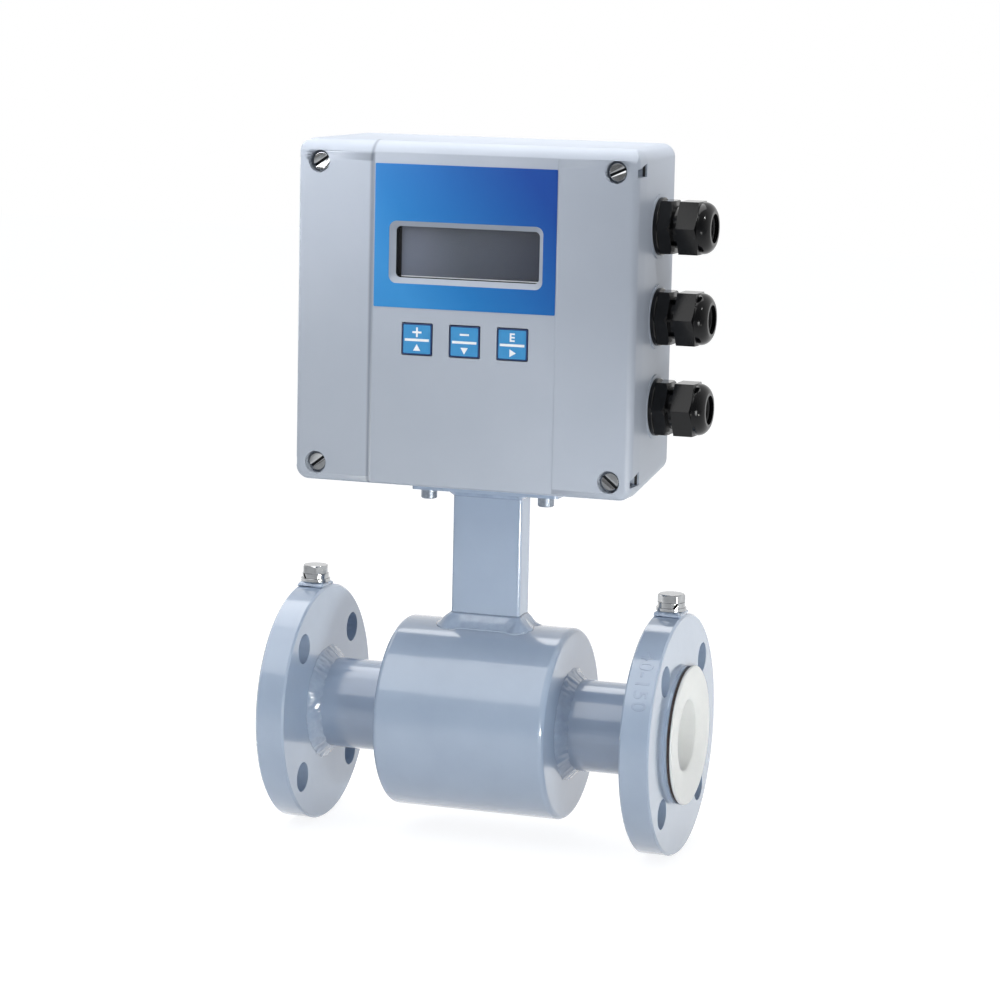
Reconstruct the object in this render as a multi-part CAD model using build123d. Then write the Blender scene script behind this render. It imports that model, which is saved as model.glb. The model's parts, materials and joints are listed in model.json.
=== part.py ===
"""Electromagnetic flow meter: flanged sensor tube with a converter housing on its neck.

Frame: origin on the pipe axis at the middle of the meter, +X along the flow, -Y is the side of
the display, +Z up. Every size is in millimetres.
"""
import math
import os

from build123d import *

# Pipe, flanges and liner: 1 1/2 inch pipe with a class 150 flange
LAY_LENGTH = 225.0
PIPE_OD = 48.3
PIPE_WALL = 3.68
LINER_WALL = 1.97
FLARE_THICK = 3.2
FLARE_EDGE = 1.0
RAISED_FACE_OD = 73.0
RAISED_FACE_HEIGHT = 1.6
FLANGE_OD = 127.0
FLANGE_THICK = 15.9
FLANGE_HOLES = 4
FLANGE_HOLE_DIA = 15.9
FLANGE_HOLE_FROM_RIM = 14.3
FLANGE_EDGE = 1.0
PIPE_WELD_LEG = 4.0
WELD_CROWN = 0.4

# Coil housing and what it holds
HOUSING_OD = 101.6
HOUSING_LENGTH = 94.0
HOUSING_WALL = 3.0
HOUSING_END_THICK = 5.0
HOUSING_EDGE = 3.0
SHOE_THICK = 3.0
SHOE_LENGTH = 44.0
SHOE_ARC = 100.0
CORE_DIA = 14.0
COIL_OD = 32.0
COIL_GAP = 0.4
BAND_WALL = 1.8
BAND_GAP = 1.6
BAND_WIDTH = 34.0
ELECTRODE_TIP_DIA = 8.0
ELECTRODE_STEM_DIA = 4.0
ELECTRODE_LENGTH = 17.0
BUSHING_WALL = 1.6
BUSHING_FLANGE = 1.5
NUT_AF = 7.0
NUT_HEIGHT = 3.0

# Neck and mounting plate
NECK_WIDTH = 38.1
NECK_DEPTH = 15.9
NECK_WALL = 2.0
NECK_CORNER = 1.5
NECK_ABOVE_HOUSING = 70.8
NECK_WELD_LEG = 6.5
PLATE_WELD_LEG = 3.0
PLATE_WIDTH = 81.0
PLATE_DEPTH = 28.0
PLATE_THICK = 4.0
PLATE_CORNER = 2.0
PLATE_GASKET_THICK = 1.4
PLATE_SCREW_FROM_END = 8.0
PLATE_SCREW_FROM_FRONT = 6.0
PLATE_SCREW_DIA = 5.0
PLATE_SCREW_LENGTH = 9.0
SOCKET_HEAD_DIA = 8.5
SOCKET_HEAD_HEIGHT = 5.0
SOCKET_AF = 4.0
SOCKET_DEPTH = 2.5
SOCKET_HEAD_EDGE = 0.5
WIRE_SLOT_WIDTH = 24.0
WIRE_SLOT_DEPTH = 8.0

# Converter housing
CASE_WIDTH = 183.0
CASE_ABOVE_GASKET = 2.0
CASE_HEIGHT = 177.5
CASE_FRONT = -53.0
COVER_DEPTH = 15.0
CASE_REAR = 26.0
CASE_CORNER = 7.0
SIDE_DRAFT = 3.3
BOTTOM_DRAFT = 6.0
CASE_WALL = 3.5
COVER_WALL = 3.0
COVER_TOP_ROUND = 11.0
COVER_FRONT_ROUND = 4.0
REAR_ROUND = 3.0
PANEL_BESIDE_WINDOW = 8.8
PANEL_STEP = 1.2

# Cover screws in their wells
SCREW_FROM_SIDE = 11.8
SCREW_FROM_BOTTOM = 9.4
SCREW_FROM_TOP = 11.7
WELL_DIA = 11.6
WELL_DEPTH = 6.8
POST_DIA = 17.0
COVER_SCREW_DIA = 5.0
COVER_SCREW_ENGAGE = 14.0
COVER_HEAD_DIA = 9.2
COVER_HEAD_HEIGHT = 3.8
COVER_SLOT_WIDTH = 1.4
COVER_SLOT_DEPTH = 1.8
COVER_SLOT_ANGLES = (38.0, -40.0, 35.0, 24.0)
NOTCH_HEIGHT = 6.9
NOTCH_FRONT_HEIGHT = 4.0
NOTCH_FRONT_GAP = 1.5
NOTCH_BELOW_SCREW = 2.4
NOTCH_TO_WELL = 1.0
HOLE_CLEARANCE = 0.05
HOLE_OVER_DEPTH = 1.0
GASKET_WIDTH = 1.5
GASKET_INSET = 1.0
GASKET_DEPTH = 1.2

# Label, display and keys on the cover
LABEL_SIDE_GAP = 0.1
LABEL_FROM_TOP = 11.5
LABEL_ABOVE_WINDOW = 29.15
LABEL_BELOW_WINDOW = 12.45
LABEL_THICK = 0.25
LABEL_CORNER = 0.6
WINDOW_MID_X = 0.5
WINDOW_WIDTH = 83.0
WINDOW_HEIGHT = 32.0
WINDOW_CORNER = 4.0
WINDOW_CHAMFER = 2.8
PANE_MARGIN = 4.5
PANE_THICK = 1.5
FRAME_THICK = 3.2
FRAME_INSET = 0.6
LCD_THICK = 6.8
BOARD_THICK = 1.6
BOARD_CORNER = 2.0
DISPLAY_BOARD_MARGIN = 10.25
DISPLAY_BOARD_BELOW_KEYS = 10.0
DISPLAY_BOARD_TOP_MARGIN = 5.0
BOARD_POST_DIA = 7.0
BOARD_POST_INSET = 5.5
BOARD_SCREW_DIA = 3.0
BOARD_SCREW_HEAD_DIA = 5.6
BOARD_SCREW_HEAD_HEIGHT = 2.2
BOARD_SCREW_LENGTH = 6.0
BOARD_SCREW_END_GAP = 0.5
KEY_NAMES = ("plus", "minus", "enter")
KEY_PITCH = 25.8
KEY_MID_X = 0.9
KEY_BELOW_LABEL = 7.9
KEY_SIZE = 16.0
KEY_GAP = 0.5
KEY_PROUD = 0.3
KEY_TRAVEL = 0.8
KEY_CORNER = 0.8
KEY_LIP = 1.2
KEY_LIP_THICK = 1.2
KEY_STEM_DIA = 5.0
SWITCH_SIZE = 6.0
SWITCH_HEIGHT = 3.5
SWITCH_BUTTON_DIA = 3.4
SWITCH_BUTTON_HEIGHT = 0.8
RUNNING_GAP = 0.1

# Main board in the base
MAIN_BOARD_WIDTH = 130.0
MAIN_BOARD_HEIGHT = 118.0
MAIN_BOARD_STANDOFF = 11.9
MAIN_BOARD_INSET = 6.0
POWER_SIZE = (56.0, 20.0, 44.0)
POWER_EDGE = 1.0
TERMINAL_SIZE = (34.0, 14.0, 10.0)
TERMINAL_FROM_SCREW = 9.2
TERMINAL_POLES = 6
TERMINAL_HOLE_DIA = 3.4

# Cable glands on the right side
GLANDS = 3
GLAND_PITCH = 46.5
GLAND_ABOVE_MIDDLE = 1.55
GLAND_BEHIND_SEAM = 28.5
GLAND_SEAT_INSET = 0.5
GLAND_BOSS_DIA = 33.0
GLAND_BOSS_THICK = 6.0
GLAND_WASHER_DIA = 29.8
GLAND_WASHER_THICK = 2.2
GLAND_WASHER_EDGE = 0.4
GLAND_HEX_AF = 27.0
GLAND_HEX_LENGTH = 6.6
GLAND_HEX_EDGE = 1.4
GLAND_THREAD_DIA = 21.8
GLAND_GAP = 3.2
NUT_HEX_LENGTH = 9.8
NUT_SHOULDER = 0.8
NUT_CORNER_SPARE = 0.3
NUT_DOME_INSET = 0.2
NUT_DOME_LENGTH = 7.0
NUT_DOME_END_DIA = 18.0
NUT_DOME_MID = 0.62
NUT_DOME_DROP = 1.0
NUT_MOUTH_LENGTH = 1.5
NUT_MOUTH_LIP = 0.6
NUT_CONE_GAP = 1.2
GLAND_TAIL_LENGTH = 13.0
GLAND_TAIL_DIA = 22.2
GLAND_BORE_DIA = 16.2
GLAND_FINGERS = 8
FINGER_SLOT = 1.0
FINGER_LENGTH = 5.0
FINGER_STEP = 0.8
FINGER_TIP_WALL = 0.9
LOCKNUT_AF = 28.0
LOCKNUT_THICK = 5.0
SEAL_BORE_DIA = 10.0
SEAL_LENGTH = 11.0
SEAL_GAP = 0.15
SEAL_EDGE = 0.6
THREAD_GAP = 0.06

# Grounding screws on the flange rims
PAD_FROM_FLANGE_FACE = 0.8
PAD_WIDTH = 14.5
PAD_ABOVE_RIM = 2.2
PAD_SKIRT = 3.0
PAD_EDGE = 1.0
GROUND_SCREW_DIA = 8.0
GROUND_SCREW_DEPTH = 8.0
GROUND_HEAD_AF = 13.0
GROUND_HEAD_HEIGHT = 4.4
GROUND_HEAD_TURN = 12.0
GROUND_HEAD_TRIM = 0.7
GROUND_HEAD_EDGE = 0.8
FLAT_WASHER_DIA = 16.0
FLAT_WASHER_THICK = 1.7
SPRING_WASHER_DIA = 14.4
SPRING_WASHER_THICK = 2.6
SPRING_WASHER_SPLIT = 1.2
SPRING_SPLIT_PLACE = 4.0
SPRING_SPLIT_TURN = 25.0

# Places worked out from the sizes above
FLARE_FACE_X = LAY_LENGTH / 2
RAISED_FACE_X = FLARE_FACE_X - FLARE_THICK
FLANGE_FACE_X = RAISED_FACE_X - RAISED_FACE_HEIGHT
FLANGE_BACK_X = FLANGE_FACE_X - FLANGE_THICK
FLANGE_MID_X = (FLANGE_FACE_X + FLANGE_BACK_X) / 2
FLANGE_BOLT_CIRCLE = FLANGE_OD - 2 * FLANGE_HOLE_FROM_RIM
PIPE_R = PIPE_OD / 2
TUBE_BORE_R = PIPE_R - PIPE_WALL
FLOW_BORE_R = TUBE_BORE_R - LINER_WALL
HOUSING_R = HOUSING_OD / 2
HOUSING_END_X = HOUSING_LENGTH / 2
HOUSING_SHELL_X = HOUSING_END_X - HOUSING_END_THICK
HOUSING_INNER_R = HOUSING_R - HOUSING_WALL
SHOE_R = PIPE_R + SHOE_THICK
BAND_OUTER_R = HOUSING_INNER_R - BAND_GAP
BAND_INNER_R = BAND_OUTER_R - BAND_WALL
NECK_TOP = HOUSING_R + NECK_ABOVE_HOUSING
PLATE_TOP = NECK_TOP + PLATE_THICK
GASKET_TOP = PLATE_TOP + PLATE_GASKET_THICK
CASE_BOTTOM = GASKET_TOP + CASE_ABOVE_GASKET
CASE_TOP = CASE_BOTTOM + CASE_HEIGHT
CASE_MID_Z = CASE_BOTTOM + CASE_HEIGHT / 2
SEAM_Y = CASE_FRONT + COVER_DEPTH
PANEL_Y = CASE_FRONT + PANEL_STEP
COVER_INNER_Y = PANEL_Y + COVER_WALL
SCREW_SIDE_X = CASE_WIDTH / 2 - SCREW_FROM_SIDE
SCREW_ROWS_Z = (CASE_BOTTOM + SCREW_FROM_BOTTOM, CASE_TOP - SCREW_FROM_TOP)
HEAD_SEAT_Y = CASE_FRONT + WELL_DEPTH
HEAD_TOP_Y = HEAD_SEAT_Y - COVER_HEAD_HEIGHT
PANEL_HALF_WIDTH = WINDOW_WIDTH / 2 + PANEL_BESIDE_WINDOW
LABEL_TOP = CASE_TOP - LABEL_FROM_TOP
WINDOW_MID_Z = LABEL_TOP - LABEL_ABOVE_WINDOW - WINDOW_HEIGHT / 2
LABEL_BOTTOM = WINDOW_MID_Z - WINDOW_HEIGHT / 2 - LABEL_BELOW_WINDOW
PANE_BACK_Y = COVER_INNER_Y + PANE_THICK
FRAME_BACK_Y = PANE_BACK_Y + FRAME_THICK
BOARD_FRONT_Y = FRAME_BACK_Y + LCD_THICK
BOARD_BACK_Y = BOARD_FRONT_Y + BOARD_THICK
PANE_WIDTH = WINDOW_WIDTH + PANE_MARGIN
PANE_HEIGHT = WINDOW_HEIGHT + PANE_MARGIN
DISPLAY_BOARD_WIDTH = PANE_WIDTH + 2 * DISPLAY_BOARD_MARGIN
KEY_Z = LABEL_BOTTOM - KEY_BELOW_LABEL - KEY_SIZE / 2
KEY_XS = [KEY_MID_X + (i - 1) * KEY_PITCH for i in range(len(KEY_NAMES))]
MAIN_BOARD_Y = CASE_REAR - CASE_WALL - MAIN_BOARD_STANDOFF - BOARD_THICK
GLAND_SEAT_X = CASE_WIDTH / 2 - GLAND_SEAT_INSET
GLAND_Y = SEAM_Y + GLAND_BEHIND_SEAM
GLAND_MID_Z = CASE_MID_Z + GLAND_ABOVE_MIDDLE
GLAND_ZS = [GLAND_MID_Z + (1 - i) * GLAND_PITCH for i in range(GLANDS)]
WASHER_END_X = GLAND_SEAT_X + GLAND_WASHER_THICK
BASE_HEX_END_X = WASHER_END_X + GLAND_HEX_LENGTH
NUT_START_X = BASE_HEX_END_X + GLAND_GAP
NUT_HEX_END_X = NUT_START_X + NUT_HEX_LENGTH
NUT_END_X = NUT_HEX_END_X + NUT_DOME_LENGTH
PAD_TOP_Z = FLANGE_OD / 2 + PAD_ABOVE_RIM


def slab(outline, y_front, y_back):
    """Extrude an outline drawn in X and Z from y_front to y_back."""
    return extrude(Plane.XZ.offset(-y_back) * outline, amount=y_back - y_front)


def cross_slab(outline, x_start, x_end):
    """Extrude an outline drawn in Y and Z from x_start to x_end."""
    return extrude(Plane.YZ.offset(x_start) * outline, amount=x_end - x_start)


def flat_slab(outline, z_low, z_high):
    """Extrude an outline drawn in X and Y from z_low to z_high."""
    return extrude(Plane.XY.offset(z_low) * outline, amount=z_high - z_low)


def rod_x(radius, x_start, x_end, y=0.0, z=0.0):
    return cross_slab(Pos(y, z) * Circle(radius), x_start, x_end)


def rod_y(radius, y_start, y_end, x=0.0, z=0.0):
    return slab(Pos(x, z) * Circle(radius), y_start, y_end)


def rod_z(radius, z_start, z_end, x=0.0, y=0.0):
    return flat_slab(Pos(x, y) * Circle(radius), z_start, z_end)


def block(x_range, y_range, z_range):
    """A box between three pairs of limits."""
    width, mid_x = x_range[1] - x_range[0], sum(x_range) / 2
    depth, mid_y = y_range[1] - y_range[0], sum(y_range) / 2
    height, mid_z = z_range[1] - z_range[0], sum(z_range) / 2
    return Pos(mid_x, mid_y, mid_z) * Box(width, depth, height)


def hexagon(across_flats, turn=0.0):
    """A hexagon with two of its flats facing the second axis of its plane."""
    return RegularPolygon(across_flats / 2, 6, major_radius=False, rotation=turn)


def spun(points, straight=True):
    """Turn a closed outline of (x, radius) points round the pipe axis."""
    outline = make_face(Polyline(*points, close=straight))
    return revolve(outline, Axis.X)


def both_ends(piece):
    """The piece and its mirror image at the other end of the meter."""
    return [piece, mirror(piece, Plane.YZ)]


def save(name, *pieces):
    """Write the solids of one node to its own file."""
    solids = []
    for piece in pieces:
        solids.extend(piece.solids())
    shape = solids[0] if len(solids) == 1 else Compound(children=solids)
    export_step(shape, f"parts/{name}.step")


# Sensor


def measuring_tube():
    tube = rod_x(PIPE_R, -RAISED_FACE_X, RAISED_FACE_X)
    tube -= rod_x(TUBE_BORE_R, -RAISED_FACE_X, RAISED_FACE_X)
    bushing_hole = rod_y(ELECTRODE_STEM_DIA / 2 + BUSHING_WALL, -PIPE_OD, PIPE_OD)
    return tube - bushing_hole


def liner():
    """The lining of the tube, which ends level with the raised faces."""
    lining = rod_x(TUBE_BORE_R, -RAISED_FACE_X, RAISED_FACE_X)
    lining -= rod_x(FLOW_BORE_R, -RAISED_FACE_X, RAISED_FACE_X)
    return lining - rod_y(ELECTRODE_TIP_DIA / 2, -PIPE_R, PIPE_R)


def liner_flare():
    """The lining's flared end, which lies over the raised face of the +X flange."""
    flare = rod_x(RAISED_FACE_OD / 2, RAISED_FACE_X, FLARE_FACE_X)
    flare -= rod_x(FLOW_BORE_R, RAISED_FACE_X, FLARE_FACE_X)
    rims = flare.edges().filter_by(GeomType.CIRCLE).sort_by(Axis.X)[-2:]
    return fillet(rims, FLARE_EDGE)


def flange():
    """The flange at the +X end."""
    disc = rod_x(FLANGE_OD / 2, FLANGE_BACK_X, FLANGE_FACE_X)
    disc = chamfer(disc.edges().filter_by(GeomType.CIRCLE), FLANGE_EDGE)
    disc += rod_x(RAISED_FACE_OD / 2, FLANGE_FACE_X, RAISED_FACE_X)
    disc -= rod_x(PIPE_R, FLANGE_BACK_X, RAISED_FACE_X)
    hole = Circle(FLANGE_HOLE_DIA / 2)
    pattern = PolarLocations(FLANGE_BOLT_CIRCLE / 2, FLANGE_HOLES, start_angle=180 / FLANGE_HOLES)
    holes = cross_slab(Sketch() + pattern * hole, FLANGE_BACK_X, RAISED_FACE_X)
    return disc - holes


def pipe_weld(x_face, outward):
    """A fillet weld round the pipe against a face at x_face, growing along outward."""
    root = (x_face, PIPE_R)
    toe = (x_face + outward * PIPE_WELD_LEG, PIPE_R)
    top = (x_face, PIPE_R + PIPE_WELD_LEG)
    middle = PIPE_WELD_LEG / 2 + WELD_CROWN
    crown = (x_face + outward * middle, PIPE_R + middle)
    outline = make_face(Polyline(top, root, toe) + ThreePointArc(toe, crown, top))
    return revolve(outline, Axis.X)


def coil_housing():
    shell = rod_x(HOUSING_R, -HOUSING_SHELL_X, HOUSING_SHELL_X)
    shell -= rod_x(HOUSING_INNER_R, -HOUSING_SHELL_X, HOUSING_SHELL_X)
    return shell - flat_slab(neck_bore_outline(), 0, HOUSING_OD)


def housing_end():
    """The end plate at the +X end, with its outer edge rounded over."""
    disc = rod_x(HOUSING_R, HOUSING_SHELL_X, HOUSING_END_X)
    outer = disc.edges().filter_by(GeomType.CIRCLE).sort_by(Axis.X)[-1]
    disc = fillet(outer, HOUSING_EDGE)
    return disc - rod_x(PIPE_R, HOUSING_SHELL_X, HOUSING_END_X)


def pole_shoe():
    """The upper shoe: a curved plate on the tube with the coil's core standing on it."""
    ring = rod_x(SHOE_R, -SHOE_LENGTH / 2, SHOE_LENGTH / 2) - rod_x(PIPE_R, -SHOE_LENGTH, SHOE_LENGTH)
    reach = HOUSING_OD
    half = math.radians(SHOE_ARC / 2)
    corner = (reach * math.sin(half), reach * math.cos(half))
    wedge = make_face(Polyline((0, 0), corner, (-corner[0], corner[1]), close=True))
    shoe = ring & cross_slab(wedge, -SHOE_LENGTH, SHOE_LENGTH)
    core = rod_z(CORE_DIA / 2, PIPE_R + SHOE_THICK / 2, BAND_OUTER_R)
    inside_band = rod_x(BAND_INNER_R, -HOUSING_END_X, HOUSING_END_X)
    return shoe + (core & inside_band)


def coil():
    """The upper coil, wound round the core between the shoe and the return band."""
    low = SHOE_R + COIL_GAP
    high = math.sqrt(BAND_INNER_R**2 - (COIL_OD / 2) ** 2) - COIL_GAP
    winding = rod_z(COIL_OD / 2, low, high) - rod_z(CORE_DIA / 2 + COIL_GAP / 2, low, high)
    return fillet(winding.edges().filter_by(GeomType.CIRCLE).sort_by(SortBy.RADIUS)[-2:], COIL_GAP)


def return_band():
    band = rod_x(BAND_OUTER_R, -BAND_WIDTH / 2, BAND_WIDTH / 2)
    return band - rod_x(BAND_INNER_R, -BAND_WIDTH, BAND_WIDTH)


def electrode():
    """The electrode at the display side: its tip lies flush with the liner's bore."""
    tip = rod_y(ELECTRODE_TIP_DIA / 2, -TUBE_BORE_R, 0)
    tip &= rod_x(TUBE_BORE_R, -ELECTRODE_TIP_DIA, ELECTRODE_TIP_DIA)
    stem = rod_y(ELECTRODE_STEM_DIA / 2, -TUBE_BORE_R - ELECTRODE_LENGTH, 0)
    return tip + stem - rod_x(FLOW_BORE_R, -ELECTRODE_TIP_DIA, ELECTRODE_TIP_DIA)


def electrode_bushing():
    """An insulating bushing in the tube wall, with a flange outside it."""
    outer_r = ELECTRODE_STEM_DIA / 2 + BUSHING_WALL
    flange_y = -PIPE_R - BUSHING_FLANGE
    body = rod_y(outer_r, -PIPE_R, 0) - rod_x(TUBE_BORE_R, -PIPE_OD, PIPE_OD)
    body += rod_y(outer_r + BUSHING_WALL, flange_y, 0) - rod_x(PIPE_R, -PIPE_OD, PIPE_OD)
    return body - rod_y(ELECTRODE_STEM_DIA / 2, flange_y, 0)


def electrode_nut():
    seat = -PIPE_R - BUSHING_FLANGE
    nut = slab(hexagon(NUT_AF), seat - NUT_HEIGHT, seat)
    return nut - rod_y(ELECTRODE_STEM_DIA / 2, seat - NUT_HEIGHT, seat)


# Neck and mounting plate


def neck_outline(grow=0.0):
    return RectangleRounded(NECK_WIDTH + 2 * grow, NECK_DEPTH + 2 * grow, NECK_CORNER + grow)


def neck_bore_outline():
    return RectangleRounded(NECK_WIDTH - 2 * NECK_WALL, NECK_DEPTH - 2 * NECK_WALL, NECK_CORNER / 2)


def neck_tube():
    neck = flat_slab(neck_outline(), 0, NECK_TOP)
    neck -= flat_slab(neck_bore_outline(), 0, NECK_TOP)
    return neck - rod_x(HOUSING_R, -HOUSING_END_X, HOUSING_END_X)


def neck_weld_lower():
    """The fillet that runs round the neck where it is coped to the round housing."""
    side_drop = HOUSING_R - math.sqrt(HOUSING_R**2 - (NECK_DEPTH / 2) ** 2)
    top = HOUSING_R + NECK_WELD_LEG - side_drop
    foot = HOUSING_R - NECK_WELD_LEG
    wide = Plane.XY.offset(foot) * neck_outline(top - foot)
    narrow = Plane.XY.offset(top) * neck_outline(HOLE_CLEARANCE)
    skirt = loft([wide, narrow]) - flat_slab(neck_outline(), foot, top)
    return skirt - rod_x(HOUSING_R, -HOUSING_LENGTH, HOUSING_LENGTH)


def neck_weld_upper():
    foot = NECK_TOP - PLATE_WELD_LEG
    narrow = Plane.XY.offset(foot) * neck_outline(HOLE_CLEARANCE)
    wide = Plane.XY.offset(NECK_TOP) * neck_outline(PLATE_WELD_LEG)
    return loft([narrow, wide]) - flat_slab(neck_outline(), foot, NECK_TOP)


def plate_screw_places():
    x = PLATE_WIDTH / 2 - PLATE_SCREW_FROM_END
    y = PLATE_SCREW_FROM_FRONT - PLATE_DEPTH / 2
    return [(-x, y), (x, y)]


def wire_slot_outline():
    return RectangleRounded(WIRE_SLOT_WIDTH, WIRE_SLOT_DEPTH, WIRE_SLOT_DEPTH / 3)


def under_plate(z_low, z_high):
    """The slab shared by the mounting plate and its gasket, with the wire slot and screw holes."""
    outline = RectangleRounded(PLATE_WIDTH, PLATE_DEPTH, PLATE_CORNER) - wire_slot_outline()
    for x, y in plate_screw_places():
        outline -= Pos(x, y) * Circle(PLATE_SCREW_DIA / 2 + HOLE_CLEARANCE)
    return flat_slab(outline, z_low, z_high)


def plate_screw(x, y):
    head = rod_z(SOCKET_HEAD_DIA / 2, NECK_TOP - SOCKET_HEAD_HEIGHT, NECK_TOP)
    head = chamfer(head.edges().filter_by(GeomType.CIRCLE).sort_by(Axis.Z)[0], SOCKET_HEAD_EDGE)
    socket_top = NECK_TOP - SOCKET_HEAD_HEIGHT + SOCKET_DEPTH
    head -= flat_slab(hexagon(SOCKET_AF), NECK_TOP - SOCKET_HEAD_HEIGHT, socket_top)
    return Pos(x, y, 0) * (head + rod_z(PLATE_SCREW_DIA / 2, NECK_TOP, GASKET_TOP + PLATE_SCREW_LENGTH))


# Converter housing


def case_outline(inset=0.0, side_in=0.0, bottom_in=0.0):
    """The housing seen from the front, drawn in by inset and by the draft of its sides."""
    width = CASE_WIDTH - 2 * (inset + side_in)
    height = CASE_HEIGHT - 2 * inset - bottom_in
    return Pos(0, CASE_MID_Z + bottom_in / 2) * RectangleRounded(width, height, CASE_CORNER - inset)


def drafted(inset, y_front, y_rear):
    """A drafted solid between the seam side and the rear, drawn in by inset."""
    front = Plane.XZ.offset(-y_front) * case_outline(inset)
    rear = Plane.XZ.offset(-y_rear) * case_outline(inset, SIDE_DRAFT, BOTTOM_DRAFT)
    return loft([front, rear])


def screw_places():
    """Each cover screw's x, z and the angle of its slot."""
    places = [(x, z) for z in SCREW_ROWS_Z for x in (-SCREW_SIDE_X, SCREW_SIDE_X)]
    return [(x, z, angle) for (x, z), angle in zip(places, COVER_SLOT_ANGLES)]


def main_post_places():
    """Where the main board's four posts stand."""
    half_w = MAIN_BOARD_WIDTH / 2 - MAIN_BOARD_INSET
    half_h = MAIN_BOARD_HEIGHT / 2 - MAIN_BOARD_INSET
    return [(x, CASE_MID_Z + z) for x in (-half_w, half_w) for z in (-half_h, half_h)]


def enclosure_base():
    outside = drafted(0, SEAM_Y, CASE_REAR)
    rear_edges = outside.faces().sort_by(Axis.Y)[-1].edges()
    outside = fillet(rear_edges, REAR_ROUND)
    cavity = drafted(CASE_WALL, SEAM_Y, CASE_REAR - CASE_WALL)
    shell = outside - cavity
    rear_y = CASE_REAR - CASE_WALL / 2
    for x, z, _ in screw_places():
        shell += rod_y(POST_DIA / 2, SEAM_Y, rear_y, x, z) & outside
    for x, z in main_post_places():
        shell += rod_y(BOARD_POST_DIA / 2, MAIN_BOARD_Y + BOARD_THICK, rear_y, x, z)
    pad = RectangleRounded(PLATE_WIDTH, PLATE_DEPTH, PLATE_CORNER)
    shell += flat_slab(pad, GASKET_TOP, CASE_BOTTOM + BOTTOM_DRAFT + CASE_WALL)
    shell -= flat_slab(wire_slot_outline(), GASKET_TOP, CASE_MID_Z)
    for x, y in plate_screw_places():
        hole_r = PLATE_SCREW_DIA / 2 + HOLE_CLEARANCE
        shell -= rod_z(hole_r, GASKET_TOP, GASKET_TOP + PLATE_SCREW_LENGTH + HOLE_OVER_DEPTH, x, y)
    for z in GLAND_ZS:
        boss_in = GLAND_SEAT_X - GLAND_BOSS_THICK
        shell += rod_x(GLAND_BOSS_DIA / 2, boss_in, GLAND_SEAT_X, GLAND_Y, z)
        shell -= rod_x(GLAND_BOSS_DIA / 2, GLAND_SEAT_X, CASE_WIDTH, GLAND_Y, z)
        hole_r = GLAND_TAIL_DIA / 2 + HOLE_CLEARANCE
        shell -= rod_x(hole_r, GLAND_SEAT_X - GLAND_TAIL_LENGTH, CASE_WIDTH, GLAND_Y, z)
    for x, z, _ in screw_places():
        hole_r = COVER_SCREW_DIA / 2 + HOLE_CLEARANCE
        shell -= rod_y(hole_r, SEAM_Y, SEAM_Y + COVER_SCREW_ENGAGE + HOLE_OVER_DEPTH, x, z)
    for x, z in main_post_places():
        hole_r = BOARD_SCREW_DIA / 2 + HOLE_CLEARANCE
        hole_start = MAIN_BOARD_Y + BOARD_THICK
        shell -= rod_y(hole_r, hole_start, hole_start + BOARD_SCREW_LENGTH, x, z)
    return shell - gasket_ring(0)


def gasket_ring(gap):
    """The ring that lies in the groove of the base's rim, drawn in by gap."""
    outer = case_outline(GASKET_INSET + gap)
    inner = case_outline(GASKET_INSET + GASKET_WIDTH - gap)
    return slab(outer - inner, SEAM_Y, SEAM_Y + GASKET_DEPTH)


def cover_body(inset, y_front, y_seam):
    """The cover's form: rounded all round the front, and rolled over further along its top."""
    body = slab(case_outline(inset), y_front, y_seam)
    front_edges = body.faces().sort_by(Axis.Y)[0].edges()
    body = fillet(front_edges, COVER_FRONT_ROUND - inset)
    roll = COVER_TOP_ROUND - inset
    top = CASE_TOP - inset
    roll_dip = roll * (1 - math.sqrt(0.5))
    roll_mid = (y_front + roll_dip, top - roll_dip)
    side = make_face(
        Polyline(
            (y_front, CASE_BOTTOM),
            (y_seam, CASE_BOTTOM),
            (y_seam, top),
            (y_front + roll, top),
        )
        + ThreePointArc((y_front + roll, top), roll_mid, (y_front, top - roll))
        + Line((y_front, top - roll), (y_front, CASE_BOTTOM))
    )
    return body & cross_slab(side, -CASE_WIDTH / 2, CASE_WIDTH / 2)


def notch(z):
    """The opening in the cover's skirt beside a screw, lower at its front than at the seam."""
    low = z - NOTCH_BELOW_SCREW
    front = CASE_FRONT + NOTCH_FRONT_GAP
    side = make_face(
        Polyline(
            (front, low),
            (SEAM_Y, low),
            (SEAM_Y, low + NOTCH_HEIGHT),
            (front, low + NOTCH_FRONT_HEIGHT),
            close=True,
        )
    )
    inner_x = SCREW_SIDE_X + WELL_DIA / 2 + NOTCH_TO_WELL
    right = cross_slab(side, inner_x, CASE_WIDTH / 2)
    return both_ends(right)


def display_post_places():
    half = DISPLAY_BOARD_WIDTH / 2 - BOARD_POST_INSET
    rows = (display_board_bottom() + BOARD_POST_INSET, display_board_top() - BOARD_POST_INSET)
    return [(x, z) for x in (-half, half) for z in rows]


def display_board_bottom():
    return KEY_Z - KEY_SIZE / 2 - DISPLAY_BOARD_BELOW_KEYS


def display_board_top():
    return WINDOW_MID_Z + PANE_HEIGHT / 2 + DISPLAY_BOARD_TOP_MARGIN


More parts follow.
